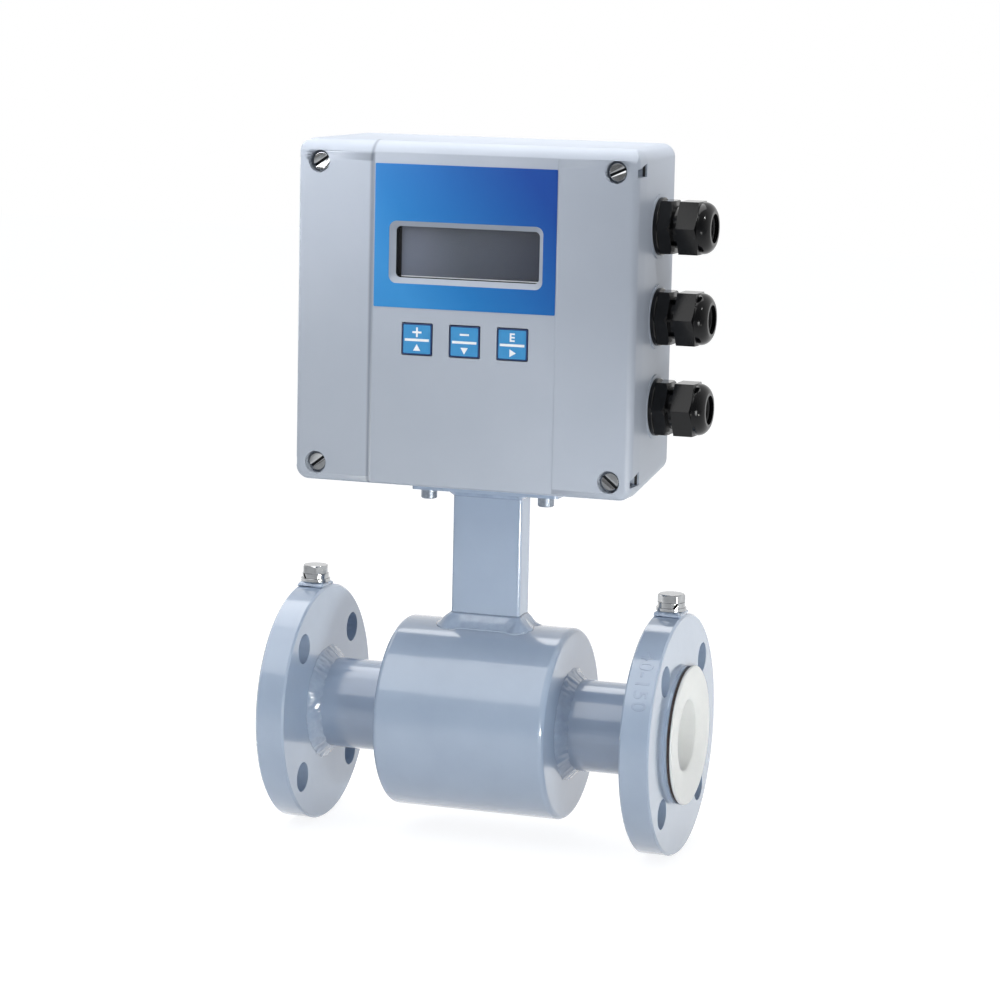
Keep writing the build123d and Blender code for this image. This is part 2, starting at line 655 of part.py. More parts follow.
def cover():
    body = cover_body(0, CASE_FRONT, SEAM_Y)
    step = PANEL_STEP
    plan = make_face(
        Polyline(
            (-PANEL_HALF_WIDTH, CASE_FRONT),
            (PANEL_HALF_WIDTH, CASE_FRONT),
            (PANEL_HALF_WIDTH - step, PANEL_Y),
            (-PANEL_HALF_WIDTH + step, PANEL_Y),
            close=True,
        )
    )
    body -= flat_slab(plan, CASE_BOTTOM, CASE_TOP)
    body -= cover_body(COVER_WALL, COVER_INNER_Y, SEAM_Y)
    for x, z, _ in screw_places():
        post = rod_y(POST_DIA / 2, CASE_FRONT, SEAM_Y, x, z)
        body += post & cover_body(0, CASE_FRONT, SEAM_Y)
    for x, z in display_post_places():
        body += rod_y(BOARD_POST_DIA / 2, COVER_INNER_Y - COVER_WALL / 2, BOARD_FRONT_Y, x, z)
    for x, z, _ in screw_places():
        body -= rod_y(WELL_DIA / 2, CASE_FRONT, HEAD_SEAT_Y, x, z)
        body -= rod_y(COVER_SCREW_DIA / 2 + HOLE_CLEARANCE, HEAD_SEAT_Y, SEAM_Y, x, z)
    for z in SCREW_ROWS_Z:
        for cut in notch(z):
            body -= cut
    wide = RectangleRounded(WINDOW_WIDTH, WINDOW_HEIGHT, WINDOW_CORNER)
    narrow_w = WINDOW_WIDTH - 2 * WINDOW_CHAMFER
    narrow_h = WINDOW_HEIGHT - 2 * WINDOW_CHAMFER
    narrow = RectangleRounded(narrow_w, narrow_h, WINDOW_CORNER - WINDOW_CHAMFER / 2)
    window_front = Plane.XZ.offset(-PANEL_Y) * Pos(WINDOW_MID_X, WINDOW_MID_Z) * wide
    window_back = Plane.XZ.offset(-COVER_INNER_Y) * Pos(WINDOW_MID_X, WINDOW_MID_Z) * narrow
    body -= loft([window_front, window_back])
    key_opening = RectangleRounded(KEY_SIZE + 2 * KEY_GAP, KEY_SIZE + 2 * KEY_GAP, KEY_CORNER)
    for x in KEY_XS:
        body -= slab(Pos(x, KEY_Z) * key_opening, CASE_FRONT, COVER_INNER_Y)
    for x, z in display_post_places():
        hole_r = BOARD_SCREW_DIA / 2 + HOLE_CLEARANCE
        body -= rod_y(hole_r, BOARD_FRONT_Y - BOARD_SCREW_LENGTH, BOARD_FRONT_Y, x, z)
    return body


def cover_screw(x, z, angle):
    """A cheese-head screw with its slot turned by angle."""
    head = rod_y(COVER_HEAD_DIA / 2, HEAD_TOP_Y, HEAD_SEAT_Y)
    front_edge = head.edges().filter_by(GeomType.CIRCLE).sort_by(Axis.Y)[0]
    head = fillet(front_edge, COVER_SLOT_WIDTH / 4)
    slot = Rot(0, 0, angle) * Rectangle(2 * COVER_HEAD_DIA, COVER_SLOT_WIDTH)
    head -= slab(slot, HEAD_TOP_Y, HEAD_TOP_Y + COVER_SLOT_DEPTH)
    shank = rod_y(COVER_SCREW_DIA / 2, HEAD_SEAT_Y, SEAM_Y + COVER_SCREW_ENGAGE)
    return Pos(x, 0, z) * (head + shank)


def label_overlay():
    label_z = (LABEL_BOTTOM + LABEL_TOP) / 2
    width = 2 * (PANEL_HALF_WIDTH - PANEL_STEP - LABEL_SIDE_GAP)
    sheet = Pos(0, label_z) * RectangleRounded(width, LABEL_TOP - LABEL_BOTTOM, LABEL_CORNER)
    opening = RectangleRounded(WINDOW_WIDTH, WINDOW_HEIGHT, WINDOW_CORNER)
    sheet -= Pos(WINDOW_MID_X, WINDOW_MID_Z) * opening
    return slab(sheet, PANEL_Y - LABEL_THICK, PANEL_Y)


def window_part(width, height, y_front, y_back, corner=1.0):
    outline = Pos(WINDOW_MID_X, WINDOW_MID_Z) * RectangleRounded(width, height, corner)
    return slab(outline, y_front, y_back)


def display_window():
    return window_part(PANE_WIDTH, PANE_HEIGHT, COVER_INNER_Y, PANE_BACK_Y)


def display_frame():
    """The foam frame between the pane and the display."""
    opening_w = WINDOW_WIDTH - 2 * WINDOW_CHAMFER + 2 * FRAME_INSET
    opening_h = WINDOW_HEIGHT - 2 * WINDOW_CHAMFER + 2 * FRAME_INSET
    frame = window_part(PANE_WIDTH, PANE_HEIGHT, PANE_BACK_Y, FRAME_BACK_Y)
    return frame - window_part(opening_w, opening_h, PANE_BACK_Y, FRAME_BACK_Y)


def lcd_module():
    return window_part(PANE_WIDTH, PANE_HEIGHT, FRAME_BACK_Y, BOARD_FRONT_Y)


def screwed_board(width, z_low, z_high, y_front, places):
    """A printed board with a hole for each of its screws."""
    outline = Pos(0, (z_low + z_high) / 2) * RectangleRounded(width, z_high - z_low, BOARD_CORNER)
    for x, z in places:
        outline -= Pos(x, z) * Circle(BOARD_SCREW_DIA / 2 + HOLE_CLEARANCE)
    return slab(outline, y_front, y_front + BOARD_THICK)


def display_board():
    low, high = display_board_bottom(), display_board_top()
    return screwed_board(DISPLAY_BOARD_WIDTH, low, high, BOARD_FRONT_Y, display_post_places())


def board_screw(x, z, head_y, into):
    """A pan-head screw whose head bears on the face at head_y and whose shank runs along into."""
    out_y = head_y - into * BOARD_SCREW_HEAD_HEIGHT
    in_y = head_y + into * (BOARD_THICK + BOARD_SCREW_LENGTH - BOARD_SCREW_END_GAP)
    head = rod_y(BOARD_SCREW_HEAD_DIA / 2, min(out_y, head_y), max(out_y, head_y), x, z)
    return head + rod_y(BOARD_SCREW_DIA / 2, min(in_y, head_y), max(in_y, head_y), x, z)


def key_switch(x):
    half = SWITCH_SIZE / 2
    front = BOARD_FRONT_Y - SWITCH_HEIGHT
    body = block((x - half, x + half), (front, BOARD_FRONT_Y), (KEY_Z - half, KEY_Z + half))
    return body + rod_y(SWITCH_BUTTON_DIA / 2, front - SWITCH_BUTTON_HEIGHT, BOARD_FRONT_Y, x, KEY_Z)


def key_cap(x):
    """A key with a lip behind the cover and a stem that reaches its switch when pressed."""
    front = PANEL_Y - KEY_PROUD
    lip_y = COVER_INNER_Y + RUNNING_GAP
    switch_y = BOARD_FRONT_Y - SWITCH_HEIGHT - SWITCH_BUTTON_HEIGHT
    face = slab(RectangleRounded(KEY_SIZE, KEY_SIZE, KEY_CORNER), front, lip_y + KEY_LIP_THICK)
    face = fillet(face.faces().sort_by(Axis.Y)[0].edges(), KEY_PROUD)
    lip = slab(Rectangle(KEY_SIZE + 2 * KEY_LIP, KEY_SIZE + 2 * KEY_LIP), lip_y, lip_y + KEY_LIP_THICK)
    stem = rod_y(KEY_STEM_DIA / 2, lip_y, switch_y - KEY_TRAVEL - RUNNING_GAP)
    return Pos(x, 0, KEY_Z) * (face + lip + stem)


def main_board():
    low = CASE_MID_Z - MAIN_BOARD_HEIGHT / 2
    high = CASE_MID_Z + MAIN_BOARD_HEIGHT / 2
    return screwed_board(MAIN_BOARD_WIDTH, low, high, MAIN_BOARD_Y, main_post_places())


def power_module():
    width, depth, height = POWER_SIZE
    left = -MAIN_BOARD_WIDTH / 2 + 2 * MAIN_BOARD_INSET
    top = CASE_MID_Z + MAIN_BOARD_HEIGHT / 2 - 2 * MAIN_BOARD_INSET
    body = block((left, left + width), (MAIN_BOARD_Y - depth, MAIN_BOARD_Y), (top - height, top))
    return chamfer(body.faces().sort_by(Axis.Y)[0].edges(), POWER_EDGE)


def terminal_rows():
    """The height of each row of terminals; the outer rows keep clear of the board's screws."""
    screw_z = MAIN_BOARD_HEIGHT / 2 - MAIN_BOARD_INSET - BOARD_SCREW_HEAD_DIA / 2
    row_z = screw_z - TERMINAL_FROM_SCREW - TERMINAL_SIZE[2] / 2
    return [CASE_MID_Z - row_z, CASE_MID_Z, CASE_MID_Z + row_z]


def terminal_block(mid_z):
    """A row of screw terminals, with a hole over each screw."""
    width, depth, height = TERMINAL_SIZE
    right = MAIN_BOARD_WIDTH / 2 - MAIN_BOARD_INSET / 2
    left = right - width
    z_range = (mid_z - height / 2, mid_z + height / 2)
    body = block((left, right), (MAIN_BOARD_Y - depth, MAIN_BOARD_Y), z_range)
    pitch = width / TERMINAL_POLES
    for pole in range(TERMINAL_POLES):
        x = left + (pole + 0.5) * pitch
        hole_end = MAIN_BOARD_Y - depth / 2
        body -= rod_y(TERMINAL_HOLE_DIA / 2, MAIN_BOARD_Y - depth, hole_end, x, mid_z)
    return body


# Cable glands, each drawn on its own axis and then moved to its place


def gland_body():
    """Round flange, hexagon, threads each way and the fingers that the dome nut squeezes."""
    finger_x = NUT_HEX_END_X - THREAD_GAP
    tip_x = finger_x + FINGER_LENGTH
    washer = rod_x(GLAND_WASHER_DIA / 2, GLAND_SEAT_X, WASHER_END_X)
    washer_rim = washer.edges().filter_by(GeomType.CIRCLE).sort_by(Axis.X)[-1]
    washer = chamfer(washer_rim, GLAND_WASHER_EDGE)
    grip = cross_slab(hexagon(GLAND_HEX_AF), WASHER_END_X, BASE_HEX_END_X)
    grip &= chamfered_rod(GLAND_WASHER_DIA / 2, WASHER_END_X, BASE_HEX_END_X, GLAND_HEX_EDGE)
    thread = rod_x(GLAND_THREAD_DIA / 2, GLAND_SEAT_X, finger_x)
    wall_r = GLAND_BORE_DIA / 2
    root = (finger_x, GLAND_THREAD_DIA / 2 - FINGER_STEP)
    fingers = spun([(finger_x, 0), root, (tip_x, wall_r + FINGER_TIP_WALL), (tip_x, 0)])
    tail = rod_x(GLAND_TAIL_DIA / 2, GLAND_SEAT_X - GLAND_TAIL_LENGTH, GLAND_SEAT_X)
    body = washer + grip + thread + fingers + tail
    body -= rod_x(wall_r, GLAND_SEAT_X - GLAND_TAIL_LENGTH, tip_x)
    slot = Rectangle(GLAND_THREAD_DIA, FINGER_SLOT)
    for i in range(GLAND_FINGERS // 2):
        body -= cross_slab(Rot(0, 0, i * 360 / GLAND_FINGERS) * slot, finger_x + FINGER_STEP, tip_x)
    return body


def chamfered_rod(radius, x_start, x_end, edge):
    """A round bar with a chamfer on its far end, to trim the corners of a hexagon."""
    bar = rod_x(radius + edge / 2, x_start, x_end)
    return chamfer(bar.edges().filter_by(GeomType.CIRCLE).sort_by(Axis.X)[-1], edge)


def gland_locknut():
    inner_x = GLAND_SEAT_X - GLAND_BOSS_THICK
    nut = cross_slab(hexagon(LOCKNUT_AF), inner_x - LOCKNUT_THICK, inner_x)
    return nut - rod_x(GLAND_TAIL_DIA / 2, inner_x - LOCKNUT_THICK, inner_x)


def gland_seal():
    """The rubber insert that the fingers close on the cable."""
    end_x = NUT_HEX_END_X - THREAD_GAP + FINGER_LENGTH
    outer_r = GLAND_BORE_DIA / 2 - SEAL_GAP
    sleeve = rod_x(outer_r, end_x - SEAL_LENGTH, end_x)
    sleeve = chamfer(sleeve.edges().filter_by(GeomType.CIRCLE), SEAL_EDGE)
    return sleeve - rod_x(SEAL_BORE_DIA / 2, end_x - SEAL_LENGTH, end_x)


def gland_nut():
    """The dome nut: a hexagon that runs into a rounded dome with an open end."""
    outer_r = GLAND_HEX_AF / math.sqrt(3) + NUT_CORNER_SPARE
    flat_r = GLAND_HEX_AF / 2
    hex_corner = (NUT_HEX_END_X, outer_r)
    dome_start = (NUT_HEX_END_X + NUT_SHOULDER, flat_r - NUT_DOME_INSET)
    dome_mid = (NUT_HEX_END_X + NUT_DOME_LENGTH * NUT_DOME_MID, flat_r - NUT_DOME_DROP)
    dome_end = (NUT_END_X, NUT_DOME_END_DIA / 2)
    axis_points = [(NUT_END_X, 0), (NUT_START_X, 0)]
    sides = Polyline(dome_end, *axis_points, (NUT_START_X, outer_r), hex_corner, dome_start)
    profile = make_face(sides + ThreePointArc(dome_start, dome_mid, dome_end))
    solid = revolve(profile, Axis.X) & cross_slab(hexagon(GLAND_HEX_AF), NUT_START_X, NUT_END_X)
    thread_r = GLAND_THREAD_DIA / 2 + THREAD_GAP
    mouth_x = NUT_END_X - NUT_MOUTH_LENGTH
    mouth_r = GLAND_BORE_DIA / 2
    inside = [
        (NUT_START_X, 0),
        (NUT_START_X, thread_r),
        (NUT_HEX_END_X, thread_r),
        (mouth_x, mouth_r + NUT_CONE_GAP),
        (mouth_x, mouth_r - NUT_MOUTH_LIP),
        (NUT_END_X, mouth_r - NUT_MOUTH_LIP),
        (NUT_END_X, 0),
    ]
    return solid - spun(inside)


# Grounding screws, drawn at the +X end


def ground_pad(flange_solid):
    low = FLANGE_OD / 2 - PAD_SKIRT
    x_range = (FLANGE_BACK_X + PAD_FROM_FLANGE_FACE, FLANGE_FACE_X - PAD_FROM_FLANGE_FACE)
    pad = block(x_range, (-PAD_WIDTH / 2, PAD_WIDTH / 2), (low, PAD_TOP_Z))
    pad = chamfer(pad.faces().sort_by(Axis.Z)[-1].edges(), PAD_EDGE)
    pad -= flange_solid
    return pad - rod_z(GROUND_SCREW_DIA / 2, low, PAD_TOP_Z, FLANGE_MID_X)


def washer_at(z_low, outer_dia, thick):
    ring = Circle(outer_dia / 2) - Circle(GROUND_SCREW_DIA / 2 + HOLE_CLEARANCE)
    return flat_slab(Pos(FLANGE_MID_X, 0) * ring, z_low, z_low + thick)


def spring_washer(z_low):
    ring = washer_at(z_low, SPRING_WASHER_DIA, SPRING_WASHER_THICK)
    split_x = FLANGE_MID_X + SPRING_SPLIT_PLACE
    split = Pos(split_x, -SPRING_WASHER_DIA / 2, z_low + SPRING_WASHER_THICK / 2)
    cut = Box(SPRING_WASHER_SPLIT, SPRING_WASHER_DIA, 2 * SPRING_WASHER_THICK)
    return ring - split * Rot(0, SPRING_SPLIT_TURN, 0) * cut


def ground_bolt(z_seat):
    z_top = z_seat + GROUND_HEAD_HEIGHT
    outline = Pos(FLANGE_MID_X, 0) * hexagon(GROUND_HEAD_AF, GROUND_HEAD_TURN)
    head = flat_slab(outline, z_seat, z_top)
    rim = rod_z(GROUND_HEAD_AF / 2 + GROUND_HEAD_TRIM, z_seat, z_top, FLANGE_MID_X)
    rim = chamfer(rim.edges().filter_by(GeomType.CIRCLE).sort_by(Axis.Z)[-1], GROUND_HEAD_EDGE)
    shank = rod_z(GROUND_SCREW_DIA / 2, PAD_TOP_Z - GROUND_SCREW_DEPTH, z_seat, FLANGE_MID_X)
    return (head & rim) + shank


def save_sensor():
    outlet = flange()
    screw_hole = rod_z(GROUND_SCREW_DIA / 2, PAD_TOP_Z - GROUND_SCREW_DEPTH, PAD_TOP_Z, FLANGE_MID_X)
    pad = ground_pad(outlet)
    outlet -= screw_hole
    save("measuring_tube", measuring_tube())
    save("liner", liner())
    save("liner_flares", *both_ends(liner_flare()))
    save("flange_outlet", outlet)
    save("flange_inlet", mirror(outlet, Plane.YZ))
    save("flange_welds", *both_ends(pipe_weld(FLANGE_BACK_X, -1)))
    save("coil_housing", coil_housing())
    save("housing_end_outlet", housing_end())
    save("housing_end_inlet", mirror(housing_end(), Plane.YZ))
    save("housing_welds", *both_ends(pipe_weld(HOUSING_END_X, 1)))
    save("pole_shoe_upper", pole_shoe())
    save("pole_shoe_lower", mirror(pole_shoe(), Plane.XY))
    save("coil_upper", coil())
    save("coil_lower", mirror(coil(), Plane.XY))
    save("return_band", return_band())
    save("electrode_front", electrode())
    save("electrode_rear", mirror(electrode(), Plane.XZ))
    save("electrode_bushings", electrode_bushing(), mirror(electrode_bushing(), Plane.XZ))
    save("electrode_nuts", electrode_nut(), mirror(electrode_nut(), Plane.XZ))
    spring_z = PAD_TOP_Z + FLAT_WASHER_THICK
    save("ground_pads", *both_ends(pad))
    save("ground_washers", *both_ends(washer_at(PAD_TOP_Z, FLAT_WASHER_DIA, FLAT_WASHER_THICK)))
    save("ground_spring_washers", *both_ends(spring_washer(spring_z)))
    save("ground_bolts", *both_ends(ground_bolt(spring_z + SPRING_WASHER_THICK)))


def save_neck():
    save("neck_tube", neck_tube())
    save("neck_weld_lower", neck_weld_lower())
    save("neck_weld_upper", neck_weld_upper())
    save("mounting_plate", under_plate(NECK_TOP, PLATE_TOP))
    save("plate_gasket", under_plate(PLATE_TOP, GASKET_TOP))
    save("plate_screws", *[plate_screw(x, y) for x, y in plate_screw_places()])


def save_converter():
    save("enclosure_base", enclosure_base())
    save("cover", cover())
    save("cover_gasket", gasket_ring(HOLE_CLEARANCE))
    save("cover_screws", *[cover_screw(x, z, angle) for x, z, angle in screw_places()])
    save("label_overlay", label_overlay())
    save("display_window", display_window())
    save("display_frame", display_frame())
    save("lcd_module", lcd_module())
    save("display_board", display_board())
    save("display_screws", *[board_screw(x, z, BOARD_BACK_Y, -1) for x, z in display_post_places()])
    save("key_switches", *[key_switch(x) for x in KEY_XS])
    for name, x in zip(KEY_NAMES, KEY_XS):
        save(f"key_{name}", key_cap(x))
    save("main_board", main_board())
    save("board_screws", *[board_screw(x, z, MAIN_BOARD_Y, 1) for x, z in main_post_places()])
    save("power_module", power_module())
    save("terminal_blocks", *[terminal_block(z) for z in terminal_rows()])


def save_glands():
    for number, z in enumerate(GLAND_ZS, start=1):
        place = Pos(0, GLAND_Y, z)
        save(f"gland_body_{number}", place * gland_body())
        save(f"gland_locknut_{number}", place * gland_locknut())
        save(f"gland_seal_{number}", place * gland_seal())
        save(f"gland_nut_{number}", place * gland_nut())


os.makedirs("parts", exist_ok=True)
save_sensor()
save_neck()
save_converter()
save_glands()
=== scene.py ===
# %% [markdown]
# # An electromagnetic flow meter
#
# The meter is a flanged steel tube with a white lining, a round coil housing and a converter box on
# a welded neck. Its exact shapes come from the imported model, which is loaded here as a fixed frame.
# This lesson gives each of those shapes a finish, and builds the small forms that make it look
# real: weld beads, lumpy pads, key signs and the display's layers.

# %% Load the frame
import json
import math

import bmesh
import bpy
from mathutils import Matrix, Vector, noise


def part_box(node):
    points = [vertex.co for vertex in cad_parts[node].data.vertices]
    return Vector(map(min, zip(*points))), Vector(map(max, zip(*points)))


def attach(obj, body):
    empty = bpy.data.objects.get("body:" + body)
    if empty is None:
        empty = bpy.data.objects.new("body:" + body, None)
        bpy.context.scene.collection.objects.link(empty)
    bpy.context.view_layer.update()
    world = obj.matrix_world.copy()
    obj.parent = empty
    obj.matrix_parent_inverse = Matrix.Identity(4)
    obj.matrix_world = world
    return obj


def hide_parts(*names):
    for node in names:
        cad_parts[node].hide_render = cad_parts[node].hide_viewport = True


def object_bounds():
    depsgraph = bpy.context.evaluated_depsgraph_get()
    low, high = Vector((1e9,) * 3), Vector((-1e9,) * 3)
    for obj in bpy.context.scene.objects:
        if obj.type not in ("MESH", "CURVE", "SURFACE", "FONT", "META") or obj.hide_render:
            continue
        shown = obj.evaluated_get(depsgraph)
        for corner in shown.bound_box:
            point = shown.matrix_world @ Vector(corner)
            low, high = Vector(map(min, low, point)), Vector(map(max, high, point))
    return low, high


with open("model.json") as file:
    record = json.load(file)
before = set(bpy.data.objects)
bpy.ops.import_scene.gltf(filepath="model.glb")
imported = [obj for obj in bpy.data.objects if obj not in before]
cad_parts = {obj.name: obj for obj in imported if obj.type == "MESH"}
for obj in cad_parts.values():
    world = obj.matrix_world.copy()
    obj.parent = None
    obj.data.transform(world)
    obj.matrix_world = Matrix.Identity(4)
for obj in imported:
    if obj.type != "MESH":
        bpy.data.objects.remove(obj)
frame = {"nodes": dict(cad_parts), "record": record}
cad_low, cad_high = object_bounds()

MM = 0.001

# %% [markdown]
# ## The camera first
#
# The photograph was taken from the right of the display, a little above the pipe. A camera can be
# placed by its target, but a measured one is safer with its own position and three angles: azimuth,
# elevation and a small roll. A long lens at a distance gives the same calm perspective.

# %% Place the camera
CAMERA_PLACE = Vector((568.8, -1670.5, 389.7)) * MM
AZIMUTH, ELEVATION, ROLL = (math.radians(angle) for angle in (19.543, 7.966, 1.108))
SENSOR_WIDTH, LENS, SHIFT = 36.0, 121.6, 0.05

camera_data = bpy.data.cameras.new("camera")
camera_data.sensor_width = SENSOR_WIDTH
camera_data.lens = LENS
camera_data.shift_x, camera_data.shift_y = SHIFT, -SHIFT
camera_data.clip_start, camera_data.clip_end = 0.1, 20.0
camera = bpy.data.objects.new("camera", camera_data)
bpy.context.scene.collection.objects.link(camera)
backwards = Vector((
    math.sin(AZIMUTH) * math.cos(ELEVATION),
    -math.cos(AZIMUTH) * math.cos(ELEVATION),
    math.sin(ELEVATION),
))
level = backwards.to_track_quat("Z", "Y").to_matrix()
turned = level @ Matrix.Rotation(ROLL, 3, "Z")
camera.matrix_world = Matrix.Translation(CAMERA_PLACE) @ turned.to_4x4()
bpy.context.scene.camera = camera
print("camera at", tuple(round(v, 3) for v in CAMERA_PLACE))

# %% [markdown]
# ## Light
#
# A product shot has large soft lamps, whose edges draw the bright bands on glossy paint. A small
# lamp would give the same light with a narrow, burnt-out band, so the main ones are wide. One hangs
# high on the left, and one lights the top. The rest are weak and have a grid, so each lights one
# place where the real meter is lighter: two corners of the cover, the top of its right side, and
# the right flange with its lining, which a slightly warm lamp keeps from turning blue. Together
# they give about the level at which a colour renders as it is written.

# %% Build the lamps
def soft_lamp(name, place, target, width, height, watts, beam=180, tint=(1.0, 1.0, 1.0)):
    """Lengths are in metres; beam is the angle in degrees that a grid leaves of the light."""
    lamp = bpy.data.lights.new(name, "AREA")
    lamp.shape = "RECTANGLE"
    lamp.size, lamp.size_y = width, height
    lamp.energy = watts
    lamp.color = tint
    lamp.spread = math.radians(beam)
    holder = bpy.data.objects.new(name, lamp)
    holder.visible_camera = False
    bpy.context.scene.collection.objects.link(holder)
    aim = (Vector(place) - Vector(target)).to_track_quat("Z", "Y").to_matrix()
    holder.matrix_world = Matrix.Translation(place) @ aim.to_4x4()


soft_lamp("lamp_high_left", (-0.26, -0.40, 0.56), (-0.02, -0.02, 0.16), 0.50, 0.52, 1.46)
soft_lamp("lamp_upper_corner", (-0.24, -0.30, 0.38), (-0.085, -0.05, 0.31), 0.12, 0.12, 0.044,
          beam=42)
soft_lamp("lamp_low_right", (0.27, -0.38, 0.10), (0.09, -0.05, 0.14), 0.14, 0.14, 0.034, beam=38)
soft_lamp("lamp_right", (0.72, -0.46, -0.12), (0.10, 0.0, -0.04), 0.7, 0.2, 1.15, beam=27,
          tint=(1.0, 0.99, 0.92))
soft_lamp("lamp_upper_right", (0.55, -0.25, 0.75), (0.09, 0.0, 0.37), 0.1, 0.1, 0.075, beam=20)
soft_lamp("lamp_top", (-0.20, 0.22, 1.12), (-0.06, 0.10, 0.1), 1.0, 1.05, 8.3)

# %% [markdown]
# ## Background
#
# The background has to be white, but a white world would flood the object with light. The Light
# Path node tells where a ray comes from: camera rays and rays through glass see plain white, glossy
# rays see white behind the object and a dimmer room in front of it, and all other rays see a weak
# fill.

# %% Make the world's nodes
WHITE = (1.0, 1.0, 1.0, 1.0)
FILL_COLOUR, FILL_STRENGTH = (0.95, 0.97, 1.0, 1.0), 0.36
ROOM_FRONT, ROOM_BACK, ROOM_DIM = -0.9, 0.3, 0.22

world = bpy.data.worlds.new("studio")
bpy.context.scene.world = world
world.use_nodes = True
sky = world.node_tree
sky.nodes.clear()
ray_kind = sky.nodes.new("ShaderNodeLightPath")
white_rays = sky.nodes.new("ShaderNodeMath")
white_rays.operation = "MAXIMUM"
white = sky.nodes.new("ShaderNodeBackground")
white.inputs["Color"].default_value = WHITE
white.inputs["Strength"].default_value = 1.0
fill = sky.nodes.new("ShaderNodeBackground")
fill.inputs["Color"].default_value = FILL_COLOUR
fill.inputs["Strength"].default_value = FILL_STRENGTH
direction = sky.nodes.new("ShaderNodeTexCoord")
split = sky.nodes.new("ShaderNodeSeparateXYZ")
depth = sky.nodes.new("ShaderNodeMapRange")
depth.inputs["From Min"].default_value = ROOM_FRONT
depth.inputs["From Max"].default_value = ROOM_BACK
depth.inputs["To Min"].default_value = ROOM_DIM
room = sky.nodes.new("ShaderNodeBackground")
room.inputs["Color"].default_value = WHITE
glossy_or_fill = sky.nodes.new("ShaderNodeMixShader")
white_or_rest = sky.nodes.new("ShaderNodeMixShader")
sky_out = sky.nodes.new("ShaderNodeOutputWorld")

# %% Join the world's nodes
sky.links.new(ray_kind.outputs["Is Camera Ray"], white_rays.inputs[0])
sky.links.new(ray_kind.outputs["Is Transmission Ray"], white_rays.inputs[1])
sky.links.new(direction.outputs["Generated"], split.inputs["Vector"])
sky.links.new(split.outputs["Y"], depth.inputs["Value"])
sky.links.new(depth.outputs["Result"], room.inputs["Strength"])
sky.links.new(ray_kind.outputs["Is Glossy Ray"], glossy_or_fill.inputs["Fac"])
sky.links.new(fill.outputs[0], glossy_or_fill.inputs[1])
sky.links.new(room.outputs[0], glossy_or_fill.inputs[2])
sky.links.new(white_rays.outputs[0], white_or_rest.inputs["Fac"])
sky.links.new(glossy_or_fill.outputs[0], white_or_rest.inputs[1])
sky.links.new(white.outputs[0], white_or_rest.inputs[2])
sky.links.new(white_or_rest.outputs[0], sky_out.inputs["Surface"])
bpy.context.scene.view_settings.view_transform = "Standard"
print("world nodes", len(sky.nodes))

# %% [markdown]
# ## A helper for materials
#
# Almost every finish here is a base colour that drifts a little, a roughness that drifts a little,
# and a fine bump. Reading Object coordinates keeps the pattern at its real size on every piece. The
# helper makes that one tree, and each finish below only states its own sizes and strengths.

# %% Define the finish helper
COAT_ROUGHNESS = 0.08
RAMP_ENDS = (0.3, 0.7)


def finish_material(name, dark, light, patch, rough, grain, height, metal=0.0, coat=0.0, spec=0.5):
    """dark and light are the ends of the colour, and rough holds those of the roughness. patch and
    grain are the sizes of the drift and of the bump, and height is the bump's depth, in mm."""
    material = bpy.data.materials.new(name)
    material.use_nodes = True
    tree = material.node_tree
    shader = tree.nodes["Principled BSDF"]
    shader.inputs["Metallic"].default_value = metal
    shader.inputs["Specular IOR Level"].default_value = spec
    shader.inputs["Coat Weight"].default_value = coat
    shader.inputs["Coat Roughness"].default_value = COAT_ROUGHNESS
    place = tree.nodes.new("ShaderNodeTexCoord")
    drift = tree.nodes.new("ShaderNodeTexNoise")
    drift.inputs["Scale"].default_value = 1.0 / (patch * MM)
    drift.inputs["Detail"].default_value = 4.0
    colours = tree.nodes.new("ShaderNodeValToRGB")
    for stop, position, colour in zip(colours.color_ramp.elements, RAMP_ENDS, (dark, light)):
        stop.position = position
        stop.color = (*colour, 1.0)
    roughness = tree.nodes.new("ShaderNodeMapRange")
    roughness.inputs["To Min"].default_value = rough[0]
    roughness.inputs["To Max"].default_value = rough[1]
    fine = tree.nodes.new("ShaderNodeTexNoise")
    fine.inputs["Scale"].default_value = 1.0 / (grain * MM)
    fine.inputs["Detail"].default_value = 3.0
    bump = tree.nodes.new("ShaderNodeBump")
    bump.inputs["Strength"].default_value = 1.0
    bump.inputs["Distance"].default_value = height * MM
    link = tree.links.new
    link(place.outputs["Object"], drift.inputs["Vector"])
    link(place.outputs["Object"], fine.inputs["Vector"])
    link(drift.outputs["Fac"], colours.inputs["Fac"])
    link(colours.outputs["Color"], shader.inputs["Base Color"])
    link(drift.outputs["Fac"], roughness.inputs["Value"])
    link(roughness.outputs["Result"], shader.inputs["Roughness"])
    link(fine.outputs["Fac"], bump.inputs["Height"])
    link(bump.outputs["Normal"], shader.inputs["Normal"])
    return material


# %% [markdown]
# ## The finishes
#
# The converter box is powder coated: satin, with the fine orange peel that powder leaves. The
# sensor is brushed or sprayed with a wet gloss paint, so its bump is wider and softer and it has a
# clear coat. Colours are linear values of the tones seen on an evenly lit part of each surface.

# %% Mix the paints
case_powder = finish_material(
    "case_powder", (0.385, 0.428, 0.500), (0.415, 0.458, 0.530), 60, (0.36, 0.44), 0.9, 0.006)
sensor_gloss = finish_material(
    "sensor_gloss", (0.320, 0.398, 0.525), (0.345, 0.426, 0.555), 25, (0.14, 0.20), 6.0, 0.030,
    coat=0.8)
weld_gloss = finish_material(
    "weld_gloss", (0.295, 0.368, 0.495), (0.345, 0.426, 0.555), 4, (0.08, 0.16), 2.4, 0.15,
    coat=1.0)
print("paints mixed")

